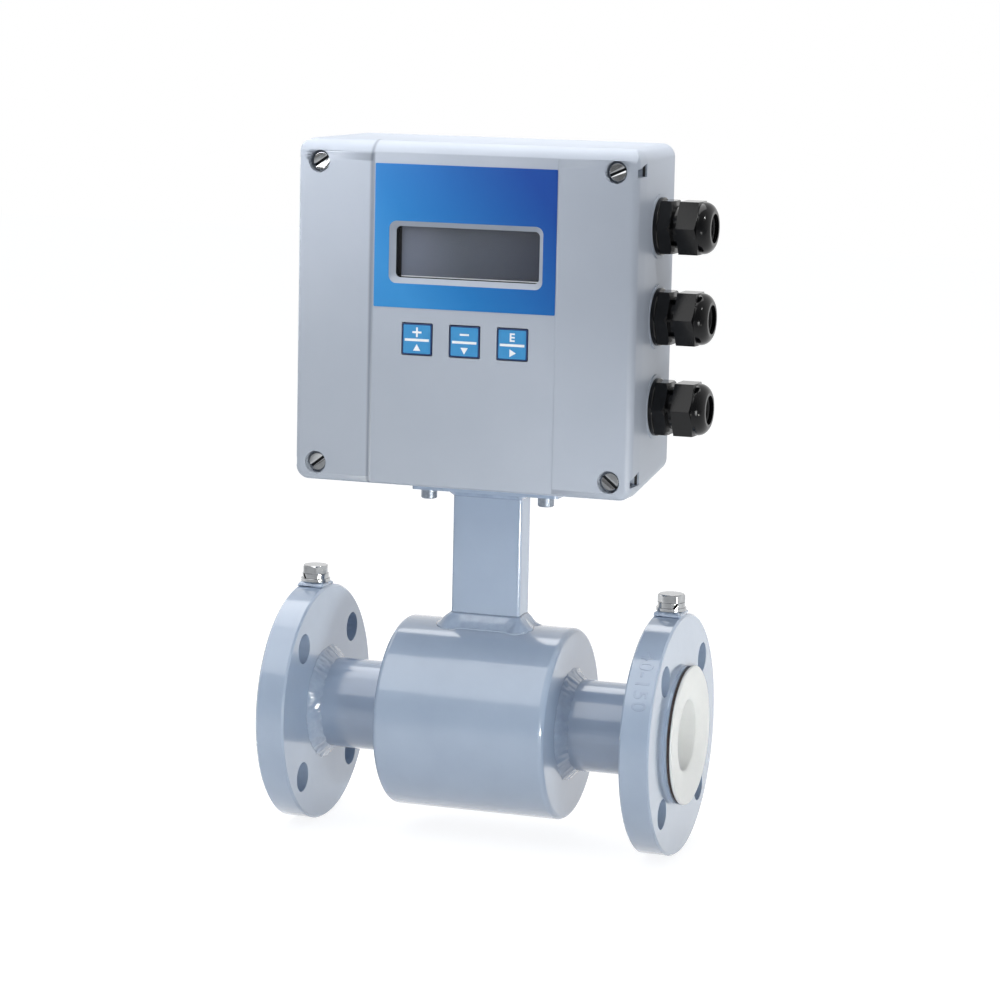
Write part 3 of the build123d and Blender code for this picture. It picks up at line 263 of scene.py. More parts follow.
# %% Mix the lining, the nylon and the rubber
lining_white = finish_material(
    "lining_white", (0.72, 0.74, 0.74), (0.77, 0.78, 0.78), 14, (0.30, 0.38), 2.0, 0.006)
# The bore's copy of the lining is lighter than the face's: painted light, for the bright inside of
# the bore.
lining_bore_lit = finish_material(
    "lining_bore_lit", (0.90, 0.92, 0.92), (0.94, 0.95, 0.95), 14, (0.30, 0.38), 2.0, 0.006)
# The brown is painted shade, for the narrow gap behind the lining's rim.
gap_shade_brown = finish_material(
    "gap_shade_brown", (0.07, 0.048, 0.044), (0.12, 0.085, 0.075), 6, (0.6, 0.8), 1.0, 0.01)
black_nylon = finish_material(
    "black_nylon", (0.0020, 0.0022, 0.0028), (0.004, 0.0042, 0.005), 8, (0.08, 0.16), 0.7, 0.004,
    spec=0.3)
black_rubber = finish_material(
    "black_rubber", (0.012, 0.012, 0.013), (0.022, 0.022, 0.024), 5, (0.55, 0.7), 0.6, 0.02)
print("plastics mixed")

# %% Mix the metals
zinc_plate = finish_material(
    "zinc_plate", (0.40, 0.41, 0.42), (0.50, 0.51, 0.52), 3.0, (0.08, 0.18), 0.5, 0.002, metal=1.0)
painted_screw = finish_material(
    "painted_screw", (0.20, 0.23, 0.28), (0.33, 0.37, 0.43), 2.0, (0.25, 0.4), 0.8, 0.01, metal=0.4)
bare_steel = finish_material(
    "bare_steel", (0.38, 0.38, 0.38), (0.50, 0.50, 0.50), 4, (0.25, 0.4), 0.4, 0.003, metal=1.0)
soft_iron = finish_material(
    "soft_iron", (0.10, 0.10, 0.105), (0.16, 0.16, 0.165), 6, (0.4, 0.6), 0.8, 0.01, metal=1.0)
copper_wire = finish_material(
    "copper_wire", (0.42, 0.16, 0.06), (0.56, 0.23, 0.09), 3, (0.3, 0.45), 0.4, 0.02, metal=1.0)
print("metals mixed")

# %% Mix the colours of the boards and the keys
board_green = finish_material(
    "board_green", (0.008, 0.06, 0.02), (0.015, 0.09, 0.03), 5, (0.3, 0.45), 0.7, 0.006)
block_green = finish_material(
    "block_green", (0.015, 0.12, 0.04), (0.025, 0.16, 0.055), 4, (0.35, 0.5), 0.6, 0.006)
moulded_black = finish_material(
    "moulded_black", (0.010, 0.010, 0.011), (0.018, 0.018, 0.019), 4, (0.4, 0.55), 0.5, 0.01)
foam_black = finish_material(
    "foam_black", (0.004, 0.004, 0.005), (0.009, 0.009, 0.010), 2, (0.7, 0.9), 0.5, 0.05)
key_blue = finish_material(
    "key_blue", (0.042, 0.262, 0.55), (0.052, 0.290, 0.59), 6, (0.28, 0.36), 0.5, 0.004)
# The navy is painted shade for the gap round each key.
key_edge_shade = finish_material(
    "key_edge_shade", (0.010, 0.035, 0.13), (0.014, 0.045, 0.16), 4, (0.35, 0.45), 0.5, 0.004)
sign_white = finish_material(
    "sign_white", (0.80, 0.82, 0.84), (0.88, 0.89, 0.90), 3, (0.4, 0.5), 0.5, 0.003)
print("materials", len(bpy.data.materials))

# %% [markdown]
# ### The cover's crease
#
# The middle panel of the cover lies a little deeper, and the corner of its left step falls in
# shade, which is painted as a dark line from top to bottom. A separate strip would lie on the
# surface, so the painted shade is in the material: close to the step in X, the colour is
# multiplied by a dark tint.

# %% Mix the cover's powder
PANEL_STEP_X = -50.6
CREASE_HALF_WIDTH, CREASE_SHARE = 1.5, 0.6
CREASE_SHADE_TINT = (0.25, 0.27, 0.31, 1.0)


def paint_shade_line(material, middle_x, half_width, share):
    """A Mix node keeps its colours in sockets 6 and 7 and its mixed colour in output 2."""
    tree = material.node_tree
    shader = tree.nodes["Principled BSDF"]
    colour = shader.inputs["Base Color"].links[0].from_socket
    place = tree.nodes.new("ShaderNodeTexCoord")
    parts = tree.nodes.new("ShaderNodeSeparateXYZ")
    offset = tree.nodes.new("ShaderNodeMath")
    offset.operation = "SUBTRACT"
    offset.inputs[1].default_value = middle_x * MM
    away = tree.nodes.new("ShaderNodeMath")
    away.operation = "ABSOLUTE"
    fade = tree.nodes.new("ShaderNodeMapRange")
    fade.interpolation_type = "SMOOTHSTEP"
    fade.inputs["From Max"].default_value = half_width * MM
    fade.inputs["To Min"].default_value = share
    fade.inputs["To Max"].default_value = 0.0
    darker = tree.nodes.new("ShaderNodeMix")
    darker.data_type = "RGBA"
    darker.blend_type = "MULTIPLY"
    # The dark tint is painted shade for the corner of the panel's step.
    darker.inputs[7].default_value = CREASE_SHADE_TINT
    tree.links.new(place.outputs["Object"], parts.inputs["Vector"])
    tree.links.new(parts.outputs["X"], offset.inputs[0])
    tree.links.new(offset.outputs[0], away.inputs[0])
    tree.links.new(away.outputs[0], fade.inputs["Value"])
    tree.links.new(fade.outputs["Result"], darker.inputs[0])
    tree.links.new(colour, darker.inputs[6])
    tree.links.new(darker.outputs[2], shader.inputs["Base Color"])


cover_powder = case_powder.copy()
cover_powder.name = "cover_powder"
paint_shade_line(cover_powder, PANEL_STEP_X, CREASE_HALF_WIDTH, CREASE_SHARE)
print("crease at", PANEL_STEP_X)

# %% [markdown]
# ### The printed label
#
# The label is a blue film, and the material colours it from light at the lower left to deep at the
# upper right.
# A gradient could be an image, but a straight line in Object coordinates does it: a Mapping node
# turns the position until one axis follows the gradient and scales it to run from 0 to 1 across the
# piece, and a ramp colours that.

# %% Define a colour that runs across a piece
def run_across(material, node, turn, stops):
    """Colour the material along a line in the front plane, turned up from X by turn degrees.
    The first two stops are the ends, and those after them lie between."""
    low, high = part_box(node)
    tree = material.node_tree
    place = tree.nodes.new("ShaderNodeTexCoord")
    line_up = tree.nodes.new("ShaderNodeMapping")
    scale = 1.0 / (high.x - low.x)
    slope = math.radians(turn)
    middle = (low + high) / 2 * scale
    line_up.inputs["Scale"].default_value = (scale, scale, scale)
    line_up.inputs["Rotation"].default_value = (0.0, slope, 0.0)
    line_up.inputs["Location"].default_value = (
        0.5 - middle.x * math.cos(slope) - middle.z * math.sin(slope), 0.0, 0.0)
    along = tree.nodes.new("ShaderNodeTexGradient")
    ramp = tree.nodes.new("ShaderNodeValToRGB")
    for (position, colour), stop in zip(stops[:2], ramp.color_ramp.elements):
        stop.position = position
        stop.color = (*colour, 1.0)
    for position, colour in stops[2:]:
        ramp.color_ramp.elements.new(position).color = (*colour, 1.0)
    tree.links.new(place.outputs["Object"], line_up.inputs["Vector"])
    tree.links.new(line_up.outputs["Vector"], along.inputs["Vector"])
    tree.links.new(along.outputs["Fac"], ramp.inputs["Fac"])
    tree.links.new(ramp.outputs["Color"], tree.nodes["Principled BSDF"].inputs["Base Color"])


# %% Mix the label film
label_film = finish_material(
    "label_film", (0.03, 0.2, 0.55), (0.04, 0.22, 0.58), 30, (0.30, 0.38), 0.8, 0.004, spec=0.4)
run_across(label_film, "label_overlay", 40, (
    (0.05, (0.034, 0.250, 0.585)),
    (0.98, (0.005, 0.062, 0.335)),
    (0.32, (0.012, 0.178, 0.490)),
))
print("label film mixed")

# %% [markdown]
# ### The display
#
# A display that is switched off is a dark sheet of glass, lighter on the side that faces the
# light; that reflection is painted into its colour as a gradient, light on the left and dark on
# the right.
# The pane in front of it is clear plastic, so it transmits light and only its reflections are seen.

# %% Mix the display glass and the pane
display_glass_painted_reflection = finish_material(
    "display_glass_painted_reflection", (0.05, 0.06, 0.08), (0.10, 0.11, 0.13), 40, (0.10, 0.16), 0.6, 0.002, coat=0.3)
# The gradient is a painted reflection.
run_across(display_glass_painted_reflection, "lcd_module", 12, (
    (0.05, (0.160, 0.178, 0.235)),
    (0.95, (0.025, 0.032, 0.054)),
    (0.45, (0.080, 0.090, 0.116)),
))
clear_pane = finish_material(
    "clear_pane", (0.93, 0.95, 0.96), (0.96, 0.97, 0.98), 30, (0.02, 0.05), 3.0, 0.001)
clear_pane.node_tree.nodes["Principled BSDF"].inputs["Transmission Weight"].default_value = 1.0
clear_pane.node_tree.nodes["Principled BSDF"].inputs["IOR"].default_value = 1.2
print("display materials made")

# %% [markdown]
# ## Dress the shapes of the frame
#
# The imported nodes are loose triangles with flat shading. A node is never changed, so a shape that
# needs smooth shading is a merged copy: doubles are joined, flat areas are dissolved into whole
# faces, and a Weighted Normal modifier keeps those faces flat beside their rounded edges. Where
# the real edge is soft, a small Bevel modifier catches the light.

# %% Define how a bmesh becomes a piece
RECORD = frame["record"]
NODE_BODY = {node: body for body, nodes in RECORD["behaviour"]["bodies"].items() for node in nodes}


def piece_from(bm, name, node, material, replaces=True):
    """Turn a finished bmesh into a piece that rides on the body of its node."""
    mesh = bpy.data.meshes.new(name)
    bm.to_mesh(mesh)
    bm.free()
    mesh.materials.append(material)
    piece = bpy.data.objects.new(name, mesh)
    bpy.context.scene.collection.objects.link(piece)
    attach(piece, NODE_BODY[node])
    if replaces:
        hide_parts(node)
    return piece


# %% Define how a node is dressed
TOUCHING = 0.002 * MM
FLAT_ANGLE = math.radians(0.6)


def merged_copy(node, flatten=True):
    bm = bmesh.new()
    bm.from_mesh(frame["nodes"][node].data)
    bmesh.ops.remove_doubles(bm, verts=bm.verts, dist=TOUCHING)
    if flatten:
        bmesh.ops.dissolve_limit(bm, angle_limit=FLAT_ANGLE, verts=bm.verts, edges=bm.edges,
                                 delimit={"NORMAL"})
    return bm


def smooth_all(piece):
    for face in piece.data.polygons:
        face.use_smooth = True


def smooth_by_angle(piece, degrees):
    smooth_all(piece)
    piece.data.set_sharp_from_angle(angle=math.radians(degrees))
    weight = piece.modifiers.new("weighted", "WEIGHTED_NORMAL")
    weight.keep_sharp = True
    weight.weight = 100


def dressed(node, material, edge=0.0, sharp=28.0):
    """edge is the width in mm of a soft edge, and edges sharper than sharp degrees stay sharp."""
    piece = piece_from(merged_copy(node), node + "_skin", node, material)
    if edge:
        soften = piece.modifiers.new("edge", "BEVEL")
        soften.width = edge * MM
        soften.segments = 2
        soften.limit_method = "ANGLE"
        soften.angle_limit = math.radians(sharp)
    smooth_by_angle(piece, sharp)
    return piece


# %% Dress the sensor
for name in ("measuring_tube", "coil_housing", "housing_end_inlet", "housing_end_outlet",
             "flange_inlet", "flange_outlet", "neck_tube", "mounting_plate"):
    dressed(name, sensor_gloss)
# The bore gets the lighter copy of the lining, which paints light into it.
dressed("liner", lining_bore_lit)
print("sensor pieces dressed")

# %% [markdown]
# ## The flared lining
#
# The lining is pressed hot over the raised face, so the bore opens into the face in a wide soft
# curve, and the outer rim is cut a little uneven. The rim doesn't touch the raised face: a narrow
# gap is left, and its shade is painted as a brown line. One section is drawn as a chain of points
# from the bore to the rim and spun about the pipe's axis. A second one is turned half round for the
# other end. The points of the rim are then moved in and out by noise, and the gap's faces get the
# painted brown shade.

# %% Draw the section of a flare
FLARE_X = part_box("liner_flares")[1].x / MM
FLARE_SEAT_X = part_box("flange_outlet")[1].x / MM
FLARE_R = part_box("liner_flares")[1].y / MM
BORE_R = 18.5
ENTRY_R, ENTRY_STOP, FACE_START, ENTRY_STEPS = 29.5, 0.05, 1.5, 10
RIM_ROUND, RIM_STEPS = 1.1, 6
GAP_WIDE, GAP_DEEP, GAP_STEP = 1.7, 1.2, 0.15


def flare_section(bm):
    """Bore, an elliptic entry, the flat face, a rounded rim, the gap and the back."""
    thick = FLARE_X - FLARE_SEAT_X
    places = [(FLARE_SEAT_X, BORE_R)]
    for step in range(1, ENTRY_STEPS + 1):
        angle = math.radians(90 / ENTRY_STEPS * step)
        places.append((FLARE_SEAT_X + (thick - ENTRY_STOP) * math.sin(angle),
                       ENTRY_R - (ENTRY_R - BORE_R) * math.cos(angle)))
    places.append((FLARE_X, ENTRY_R + FACE_START))
    for step in range(RIM_STEPS + 1):
        angle = math.radians(90 / RIM_STEPS * step)
        places.append((FLARE_X - RIM_ROUND * (1 - math.cos(angle)),
                       FLARE_R - RIM_ROUND * (1 - math.sin(angle))))
    places.append((FLARE_SEAT_X + GAP_WIDE, FLARE_R - GAP_STEP))
    places.append((FLARE_SEAT_X + GAP_WIDE, FLARE_R - GAP_DEEP))
    places.append((FLARE_SEAT_X, FLARE_R - GAP_DEEP))
    chain = [bm.verts.new(Vector((x, 0, r)) * MM) for x, r in places]
    return chain + [bm.edges.new(pair) for pair in zip(chain, chain[1:] + chain[:1])]


# %% Spin the two flares
def verts_of(geom):
    return [g for g in geom if isinstance(g, bmesh.types.BMVert)]


bm = bmesh.new()
for turn in (0, math.pi):
    section = flare_section(bm)
    if turn:
        bmesh.ops.rotate(bm, verts=verts_of(section), cent=(0, 0, 0),
                         matrix=Matrix.Rotation(turn, 3, "Z"))
    bmesh.ops.spin(bm, geom=section, axis=(1, 0, 0), cent=(0, 0, 0), dvec=(0, 0, 0),
                   angle=2 * math.pi, steps=144, use_merge=True, use_duplicate=False)
bmesh.ops.remove_doubles(bm, verts=bm.verts, dist=TOUCHING)
print("flares spun to radius", round(FLARE_R, 1))

# %% Let the rims drift
RIM_DRIFT, RIM_DEEP, DRIFT_PACE, ENDS_APART = 0.35, 1.5, 0.07, 3.0

for vert in bm.verts:
    radius = math.hypot(vert.co.y, vert.co.z) / MM
    if radius > FLARE_R - RIM_DEEP:
        along = Vector((vert.co.y, vert.co.z)) / MM * DRIFT_PACE
        end = math.copysign(ENDS_APART, vert.co.x)
        drift = noise.noise(Vector((along.x, along.y, end))) * RIM_DRIFT
        vert.co.y *= 1 + drift / radius
        vert.co.z *= 1 + drift / radius
bmesh.ops.recalc_face_normals(bm, faces=bm.faces)
flares = piece_from(bm, "lining_flares", "liner_flares", lining_white)
print("rims drift by up to", RIM_DRIFT)

# %% Paint the gap's shade brown
SPARE_R, SPARE_X = 0.6, 0.05
GAP_FROM_R = FLARE_R - GAP_DEEP - SPARE_R
GAP_TO_X = FLARE_SEAT_X + GAP_WIDE + SPARE_X

# The gap's faces get the painted brown shade.
flares.data.materials.append(gap_shade_brown)
for face in flares.data.polygons:
    radius = math.hypot(face.center.y, face.center.z) / MM
    if radius > GAP_FROM_R and abs(face.center.x) / MM < GAP_TO_X:
        face.material_index = 1
smooth_by_angle(flares, 35)
print("flare faces", len(flares.data.polygons), "seat at", round(FLARE_SEAT_X, 1))

# %% [markdown]
# ## The skins of the converter and its metal parts
#
# The base and the cover are moulded with round edges already, so they only need smooth shading. The
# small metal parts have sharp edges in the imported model, and a real one always has a fine broken
# edge that catches the light, so they get a bevel of 0.15 mm.

# %% Dress the converter
SMALL_EDGE = 0.15

dressed("enclosure_base", case_powder)
dressed("cover", cover_powder)
dressed("label_overlay", label_film)
for name in ("ground_bolts", "ground_washers", "ground_spring_washers"):
    dressed(name, zinc_plate, edge=SMALL_EDGE)
dressed("plate_screws", painted_screw, edge=SMALL_EDGE)
dressed("display_window", clear_pane)
dressed("lcd_module", display_glass_painted_reflection)
dressed("display_frame", foam_black)
print("converter pieces dressed")

# %% [markdown]
# ### The slotted screws
#
# The cover screws are bright zinc, and what makes them read as slotted is the shade in the slot,
# which is painted: the slot's faces are found by where they lie, below the head's front face and
# inside its rim, and get a second, dark material that stands for that shade.

# %% Dress the cover screws
# A dark material that paints the shade in the screw slots.
slot_shade = finish_material(
    "slot_shade", (0.010, 0.011, 0.013), (0.03, 0.032, 0.036), 1.5, (0.5, 0.7), 0.5, 0.01, metal=0.3)
HEAD_R = 4.3
SLOT_FRONT, SLOT_DEPTH, SLOT_REACH = 0.1, 1.85, 3.9


def slot_faces(piece, centres, front_y):
    """Give the slots the piece's second material, and count their faces."""
    found = 0
    for face in piece.data.polygons:
        depth = face.center.y / MM - front_y
        middle = Vector((face.center.x, face.center.z)) / MM
        reach = min((middle - centre).length for centre in centres)
        if SLOT_FRONT < depth < SLOT_DEPTH and reach < SLOT_REACH:
            face.material_index = 1
            found += 1
    return found


screws = dressed("cover_screws", zinc_plate)
screws.data.materials.append(slot_shade)
screw_low, screw_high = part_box("cover_screws")
screw_centres = [Vector((x, z)) for x in (screw_low.x / MM + HEAD_R, screw_high.x / MM - HEAD_R)
                 for z in (screw_low.z / MM + HEAD_R, screw_high.z / MM - HEAD_R)]
print("slot faces", slot_faces(screws, screw_centres, screw_low.y / MM))

# %% [markdown]
# ### The cable glands
#
# A gland is moulded in glossy black nylon. Black shows no shade, so what draws its shape is the
# light along its edges: the body and the dome nut get a bevel of a quarter of a millimetre. The
# locknut is inside the box, and the seal is dull rubber, so they keep their own edges.

# %% Dress the glands
GLAND_EDGE = 0.25

for number in ("1", "2", "3"):
    for name in ("gland_body_", "gland_nut_"):
        dressed(name + number, black_nylon, edge=GLAND_EDGE)
    dressed("gland_locknut_" + number, black_nylon)
    dressed("gland_seal_" + number, black_rubber)
print("gland pieces dressed")

# %% [markdown]
# ## Finish the inner nodes
#
# The parts inside the meter are not seen from outside, but they are real and get their own finish.
# Their shapes are right as they are, so the material goes straight onto the node.

# %% Give the inner nodes their materials
INNER_FINISHES = {
    bare_steel: ("electrode_front", "electrode_rear", "electrode_nuts", "display_screws",
                 "board_screws"),
    soft_iron: ("pole_shoe_upper", "pole_shoe_lower", "return_band"),
    copper_wire: ("coil_upper", "coil_lower"),
    lining_white: ("electrode_bushings",),
    black_rubber: ("plate_gasket", "cover_gasket"),
    board_green: ("display_board", "main_board"),
    block_green: ("terminal_blocks",),
    moulded_black: ("key_switches", "power_module"),
}
for material, names in INNER_FINISHES.items():
    for name in names:
        mesh = frame["nodes"][name].data
        mesh.materials.clear()
        mesh.materials.append(material)
print("inner nodes", sum(len(names) for names in INNER_FINISHES.values()))

# %% [markdown]
# ## Weld beads round the pipe
#
# A hand weld is a row of overlapping puddles under thick paint, which fills its corner with a
# slightly hollow slope. A torus would stand out like a rope and be too even, so the bead's section
# is spun round the pipe in many steps, and then every point is pushed out or in by a wave for the
# puddles, whose height drifts, and by two sizes of noise for the hand.

# %% Draw the section of a bead
PIPE_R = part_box("measuring_tube")[1].y / MM
HOLLOW, SECTION_STEPS = 2.2, 8
ROOT_BACK, ROOT_DEEP, TOE_DEEP = 0.3, 0.4, 0.1


def bead_section(bm, face_x, outward, leg):
    """A closed section in the XZ plane: root, toe on the pipe, a hollow slope, toe on the face."""
    root = bm.verts.new(Vector((face_x - outward * ROOT_BACK, 0, PIPE_R - ROOT_DEEP)) * MM)
    ring = [root]
    for step in range(SECTION_STEPS + 1):
        angle = math.radians(90.0 * step / SECTION_STEPS)
        x = face_x + outward * leg * math.cos(angle) ** HOLLOW
        z = PIPE_R - TOE_DEEP + leg * math.sin(angle) ** HOLLOW
        ring.append(bm.verts.new(Vector((x, 0, z)) * MM))
    loop = ring + [ring[0]]
    return ring, [bm.edges.new((a, b)) for a, b in zip(loop, loop[1:])]


# %% Define how a bead is spun and shaped
WOBBLE, PUDDLE, LUMP, PLAIN_SCALE = 0.35, 0.09, 0.14, 0.92


def pipe_bead(bm, face_x, outward, leg, puddles, seed):
    """The bead's root stays in its corner, and every other point moves to or from it."""
    ring, edges = bead_section(bm, face_x, outward, leg)
    before = set(bm.verts)
    bmesh.ops.spin(bm, geom=ring + edges, axis=(1, 0, 0), cent=(0, 0, 0), dvec=(0, 0, 0),
                   angle=2 * math.pi, steps=240, use_merge=True, use_duplicate=False)
    new = [v for v in bm.verts if v not in before or v in ring]
    for vert in new:
        turn = math.atan2(vert.co.y, vert.co.z)
        radius = math.hypot(vert.co.y, vert.co.z) / MM
        if radius < PIPE_R + 0.05 and abs(vert.co.x / MM - face_x) < 1.0:
            continue
        wobble = noise.noise(Vector((math.cos(turn) * 3, math.sin(turn) * 3, seed))) * WOBBLE
        drift = 0.5 + noise.noise(Vector((math.cos(turn) * 5, math.sin(turn) * 5, seed + 4)))
        puddle = math.sin((turn + 0.5 * wobble) * puddles / 2) ** 2 * PUDDLE * drift
        lump = noise.noise(vert.co / MM * 0.5 + Vector((seed, 0, 0))) * LUMP
        scale = PLAIN_SCALE + puddle + wobble * 0.4 + lump
        away = (vert.co.x - face_x * MM) * scale
        rise = (radius - PIPE_R) * scale + PIPE_R
        vert.co.x = face_x * MM + away
        vert.co.y = math.sin(turn) * rise * MM
        vert.co.z = math.cos(turn) * rise * MM


# %% Lay the pipe beads
def bead_piece(node, face_x, outward, leg, puddles):
    """Two beads that differ by their seed, one at each end of the pipe."""
    bm = bmesh.new()
    pipe_bead(bm, face_x, outward, leg, puddles, 1.7)
    pipe_bead(bm, -face_x, -outward, leg, puddles, 8.3)
    bmesh.ops.remove_doubles(bm, verts=bm.verts, dist=TOUCHING)
    bmesh.ops.recalc_face_normals(bm, faces=bm.faces)
    smooth_all(piece_from(bm, node + "_beads", node, weld_gloss))


FLANGE_BACK_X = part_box("flange_outlet")[0].x / MM
HOUSING_END_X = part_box("housing_end_outlet")[1].x / MM
bead_piece("flange_welds", FLANGE_BACK_X, -1, 6.4, 34)
bead_piece("housing_welds", HOUSING_END_X, 1, 5.9, 38)
print("beads at", round(FLANGE_BACK_X, 1), round(HOUSING_END_X, 1))

# %% [markdown]
# ## The fillets of the neck
#
# The neck stands on the round housing in a sloping fillet that was ground flat and painted over, so
# it is plain along its sides and lumpy only at its four corners, where the welder stopped. A ring
# round the neck is extruded outwards step by step. Each step drops a little more until the slope
# lies on the housing, and the ring is closed underneath.

# %% Define the neck's outline ring
NECK_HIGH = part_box("neck_tube")[1]
HALF_W, HALF_D = NECK_HIGH.x / MM, NECK_HIGH.y / MM
CORNER = 1.5
HOUSING_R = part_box("coil_housing")[1].y / MM


def neck_ring(bm):
    """A rounded rectangle: a grid's one face, its corners bevelled and its edges divided."""
    square = bmesh.ops.create_grid(bm, x_segments=1, y_segments=1, size=1.0)["verts"]
    for vert in square:
        x, y = math.copysign(HALF_W, vert.co.x), math.copysign(HALF_D, vert.co.y)
        vert.co = Vector((x, y, 0)) * MM
    bmesh.ops.bevel(bm, geom=square, offset=CORNER * MM, offset_type="OFFSET", segments=6,
                    profile=0.5, affect="VERTICES", clamp_overlap=True, material=-1)
    long_edges = [edge for edge in bm.edges if edge.calc_length() > 5 * MM]
    bmesh.ops.subdivide_edges(bm, edges=long_edges, cuts=28, use_grid_fill=False)
    bmesh.ops.delete(bm, geom=list(bm.faces), context="FACES_ONLY")
    return list(bm.edges)


def outward_of(point):
    """The direction that leads straight away from the ring at this point."""
    core = Vector((max(-HALF_W + CORNER, min(HALF_W - CORNER, point.x / MM)),
                   max(-HALF_D + CORNER, min(HALF_D - CORNER, point.y / MM))))
    away = Vector((point.x / MM, point.y / MM)) - core
    return away.normalized()


# %% Place a point of the fillet
CORNER_REACH, CORNER_SPREAD, LUMP_PACE = 6.5, 0.35, 0.35
SLOPE_POWER = 1.4


def fillet_point(x, y, away, share, leg, surface, lumps):
    """Where the ring's point at x, y (in mm) lies after this share of the slope."""
    corner = math.hypot(HALF_W - abs(x), HALF_D - abs(y))
    near = max(0.0, 1.0 - corner / CORNER_REACH)
    lump = noise.noise(Vector((x * LUMP_PACE, y * LUMP_PACE, share * 2.2))) * lumps * near
    reach = abs(leg) * share * (1.0 + CORNER_SPREAD * near)
    px, py = x + away.x * reach, y + away.y * reach
    height = max(abs(leg) * (1 - share) ** SLOPE_POWER + lump * math.sin(math.pi * share), 0.0)
    return Vector((px, py, surface(px, py) + math.copysign(height, leg))) * MM


# %% Sweep the ring into a fillet
SLOPE_STEPS = 9
ROOT_DEPTH = 0.3


def edges_of(geom):
    return [g for g in geom if isinstance(g, bmesh.types.BMEdge)]


def next_ring(bm, edges, start, place):
    """Extrude the ring once and put each new point at place(x, y, away) of where it began."""
    made = bmesh.ops.extrude_edge_only(bm, edges=edges)["geom"]
    kept = {}
    for vert in verts_of(made):
        old = next(e.other_vert(vert) for e in vert.link_edges if e.other_vert(vert) in start)
        kept[vert] = start[old]
        vert.co = place(*start[old])
    return edges_of(made), kept


def neck_fillet(name, node, leg, surface, lumps):
    """surface(x, y) is the height that the fillet runs out on; a negative leg hangs from it."""
    bm = bmesh.new()
    edges = first = neck_ring(bm)
    start = {}
    for vert in {v for edge in edges for v in edge.verts}:
        x, y = vert.co.x / MM, vert.co.y / MM
        start[vert] = (x, y, outward_of(vert.co))
        vert.co.z = (surface(x, y) + leg) * MM
    for step in range(1, SLOPE_STEPS + 1):
        share = step / SLOPE_STEPS
        edges, start = next_ring(bm, edges, start, lambda x, y, away: fillet_point(
            x, y, away, share, leg, surface, lumps))
    last, start = next_ring(bm, edges, start, lambda x, y, away: Vector(
        (x, y, surface(x, y) - math.copysign(ROOT_DEPTH, leg))) * MM)
    bmesh.ops.bridge_loops(bm, edges=first + last)
    bmesh.ops.recalc_face_normals(bm, faces=bm.faces)
    smooth_all(piece_from(bm, name, node, weld_gloss))


# %% Lay the two fillets
PLATE_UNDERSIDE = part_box("mounting_plate")[0].z / MM
neck_fillet("neck_fillet_lower", "neck_weld_lower", 6.4,
            lambda x, y: math.sqrt(max(HOUSING_R ** 2 - y * y, 0.0)), 2.0)
neck_fillet("neck_fillet_upper", "neck_weld_upper", -2.9, lambda x, y: PLATE_UNDERSIDE, 0.8)
print("neck", round(HALF_W, 2), round(HALF_D, 2), "plate underside", round(PLATE_UNDERSIDE, 1))

# %% [markdown]
# ## Raised numbers on the rim
#
# A flange carries its size and pressure class in raised characters on the rim. Flat text would
# stand off a round rim, so the text is made a mesh first and then bent: the reading direction is
# laid along the rim's arc, the height of the characters along the pipe's axis. Paint has softened
# them, so they are low and have the gloss of the welds. They end above the rim's foremost line,
# which sets the size of the whole meter.

# %% Bend the numbers round the rim
LETTER_HALF, LETTER_ROUND = 0.5, 0.12
CAPS_MIDDLE = 0.36


def rim_numbers(words, node, size, start_angle, proud):
    """size is the type's in mm, and proud is how far the characters stand off the rim."""
    curve = bpy.data.curves.new("rim_text", "FONT")
    curve.body = words
    curve.size = size * MM
    curve.extrude = LETTER_HALF * MM
    curve.bevel_depth = LETTER_ROUND * MM
    curve.bevel_resolution = 1
    curve.space_character = 1.15
    holder = bpy.data.objects.new("rim_text", curve)
    mesh = bpy.data.meshes.new_from_object(holder)
    bpy.data.objects.remove(holder)
    bm = bmesh.new()
    bm.from_mesh(mesh)
    bmesh.ops.remove_doubles(bm, verts=bm.verts, dist=TOUCHING)
    low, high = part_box(node)
    radius = high.y + (proud - LETTER_HALF - LETTER_ROUND) * MM
    middle = (low.x + high.x) / 2 - CAPS_MIDDLE * size * MM
    for vert in bm.verts:
        along, across, out = vert.co
        angle = math.radians(start_angle) - along / radius
        away = radius + out
        vert.co = Vector((middle + across, -away * math.cos(angle), away * math.sin(angle)))
    bmesh.ops.recalc_face_normals(bm, faces=bm.faces)
    return piece_from(bm, "rim_numbers", node, weld_gloss, replaces=False)


numbers = rim_numbers("40-150", "flange_outlet", 10.5, 52, 0.35)
print("rim numbers", len(numbers.data.polygons))

# %% [markdown]
# ## The grounding pads
#
# Each pad is a small block welded onto the flange's rim and painted over, so its edges are round
# and its sides are lumpy and spread towards the rim. A merged copy of the node is remeshed into
# even small faces, which are smoothed as wet paint would be, spread downwards and pushed about by
# noise.

# %% Build the pads
FLANGE_THICK = 15.9
PAD_X = FLANGE_BACK_X + FLANGE_THICK / 2
NOISE_PACE = 0.45


def evenly_meshed(piece, voxel):
    """A bmesh of the piece in even small faces; the piece is left without a modifier."""
    remesh = piece.modifiers.new("even", "REMESH")
    remesh.mode = "VOXEL"
    remesh.voxel_size = voxel * MM
    bpy.context.view_layer.update()
    modified = piece.evaluated_get(bpy.context.evaluated_depsgraph_get())
    bm = bmesh.new()
    bm.from_mesh(bpy.data.meshes.new_from_object(modified))
    piece.modifiers.clear()
    return bm


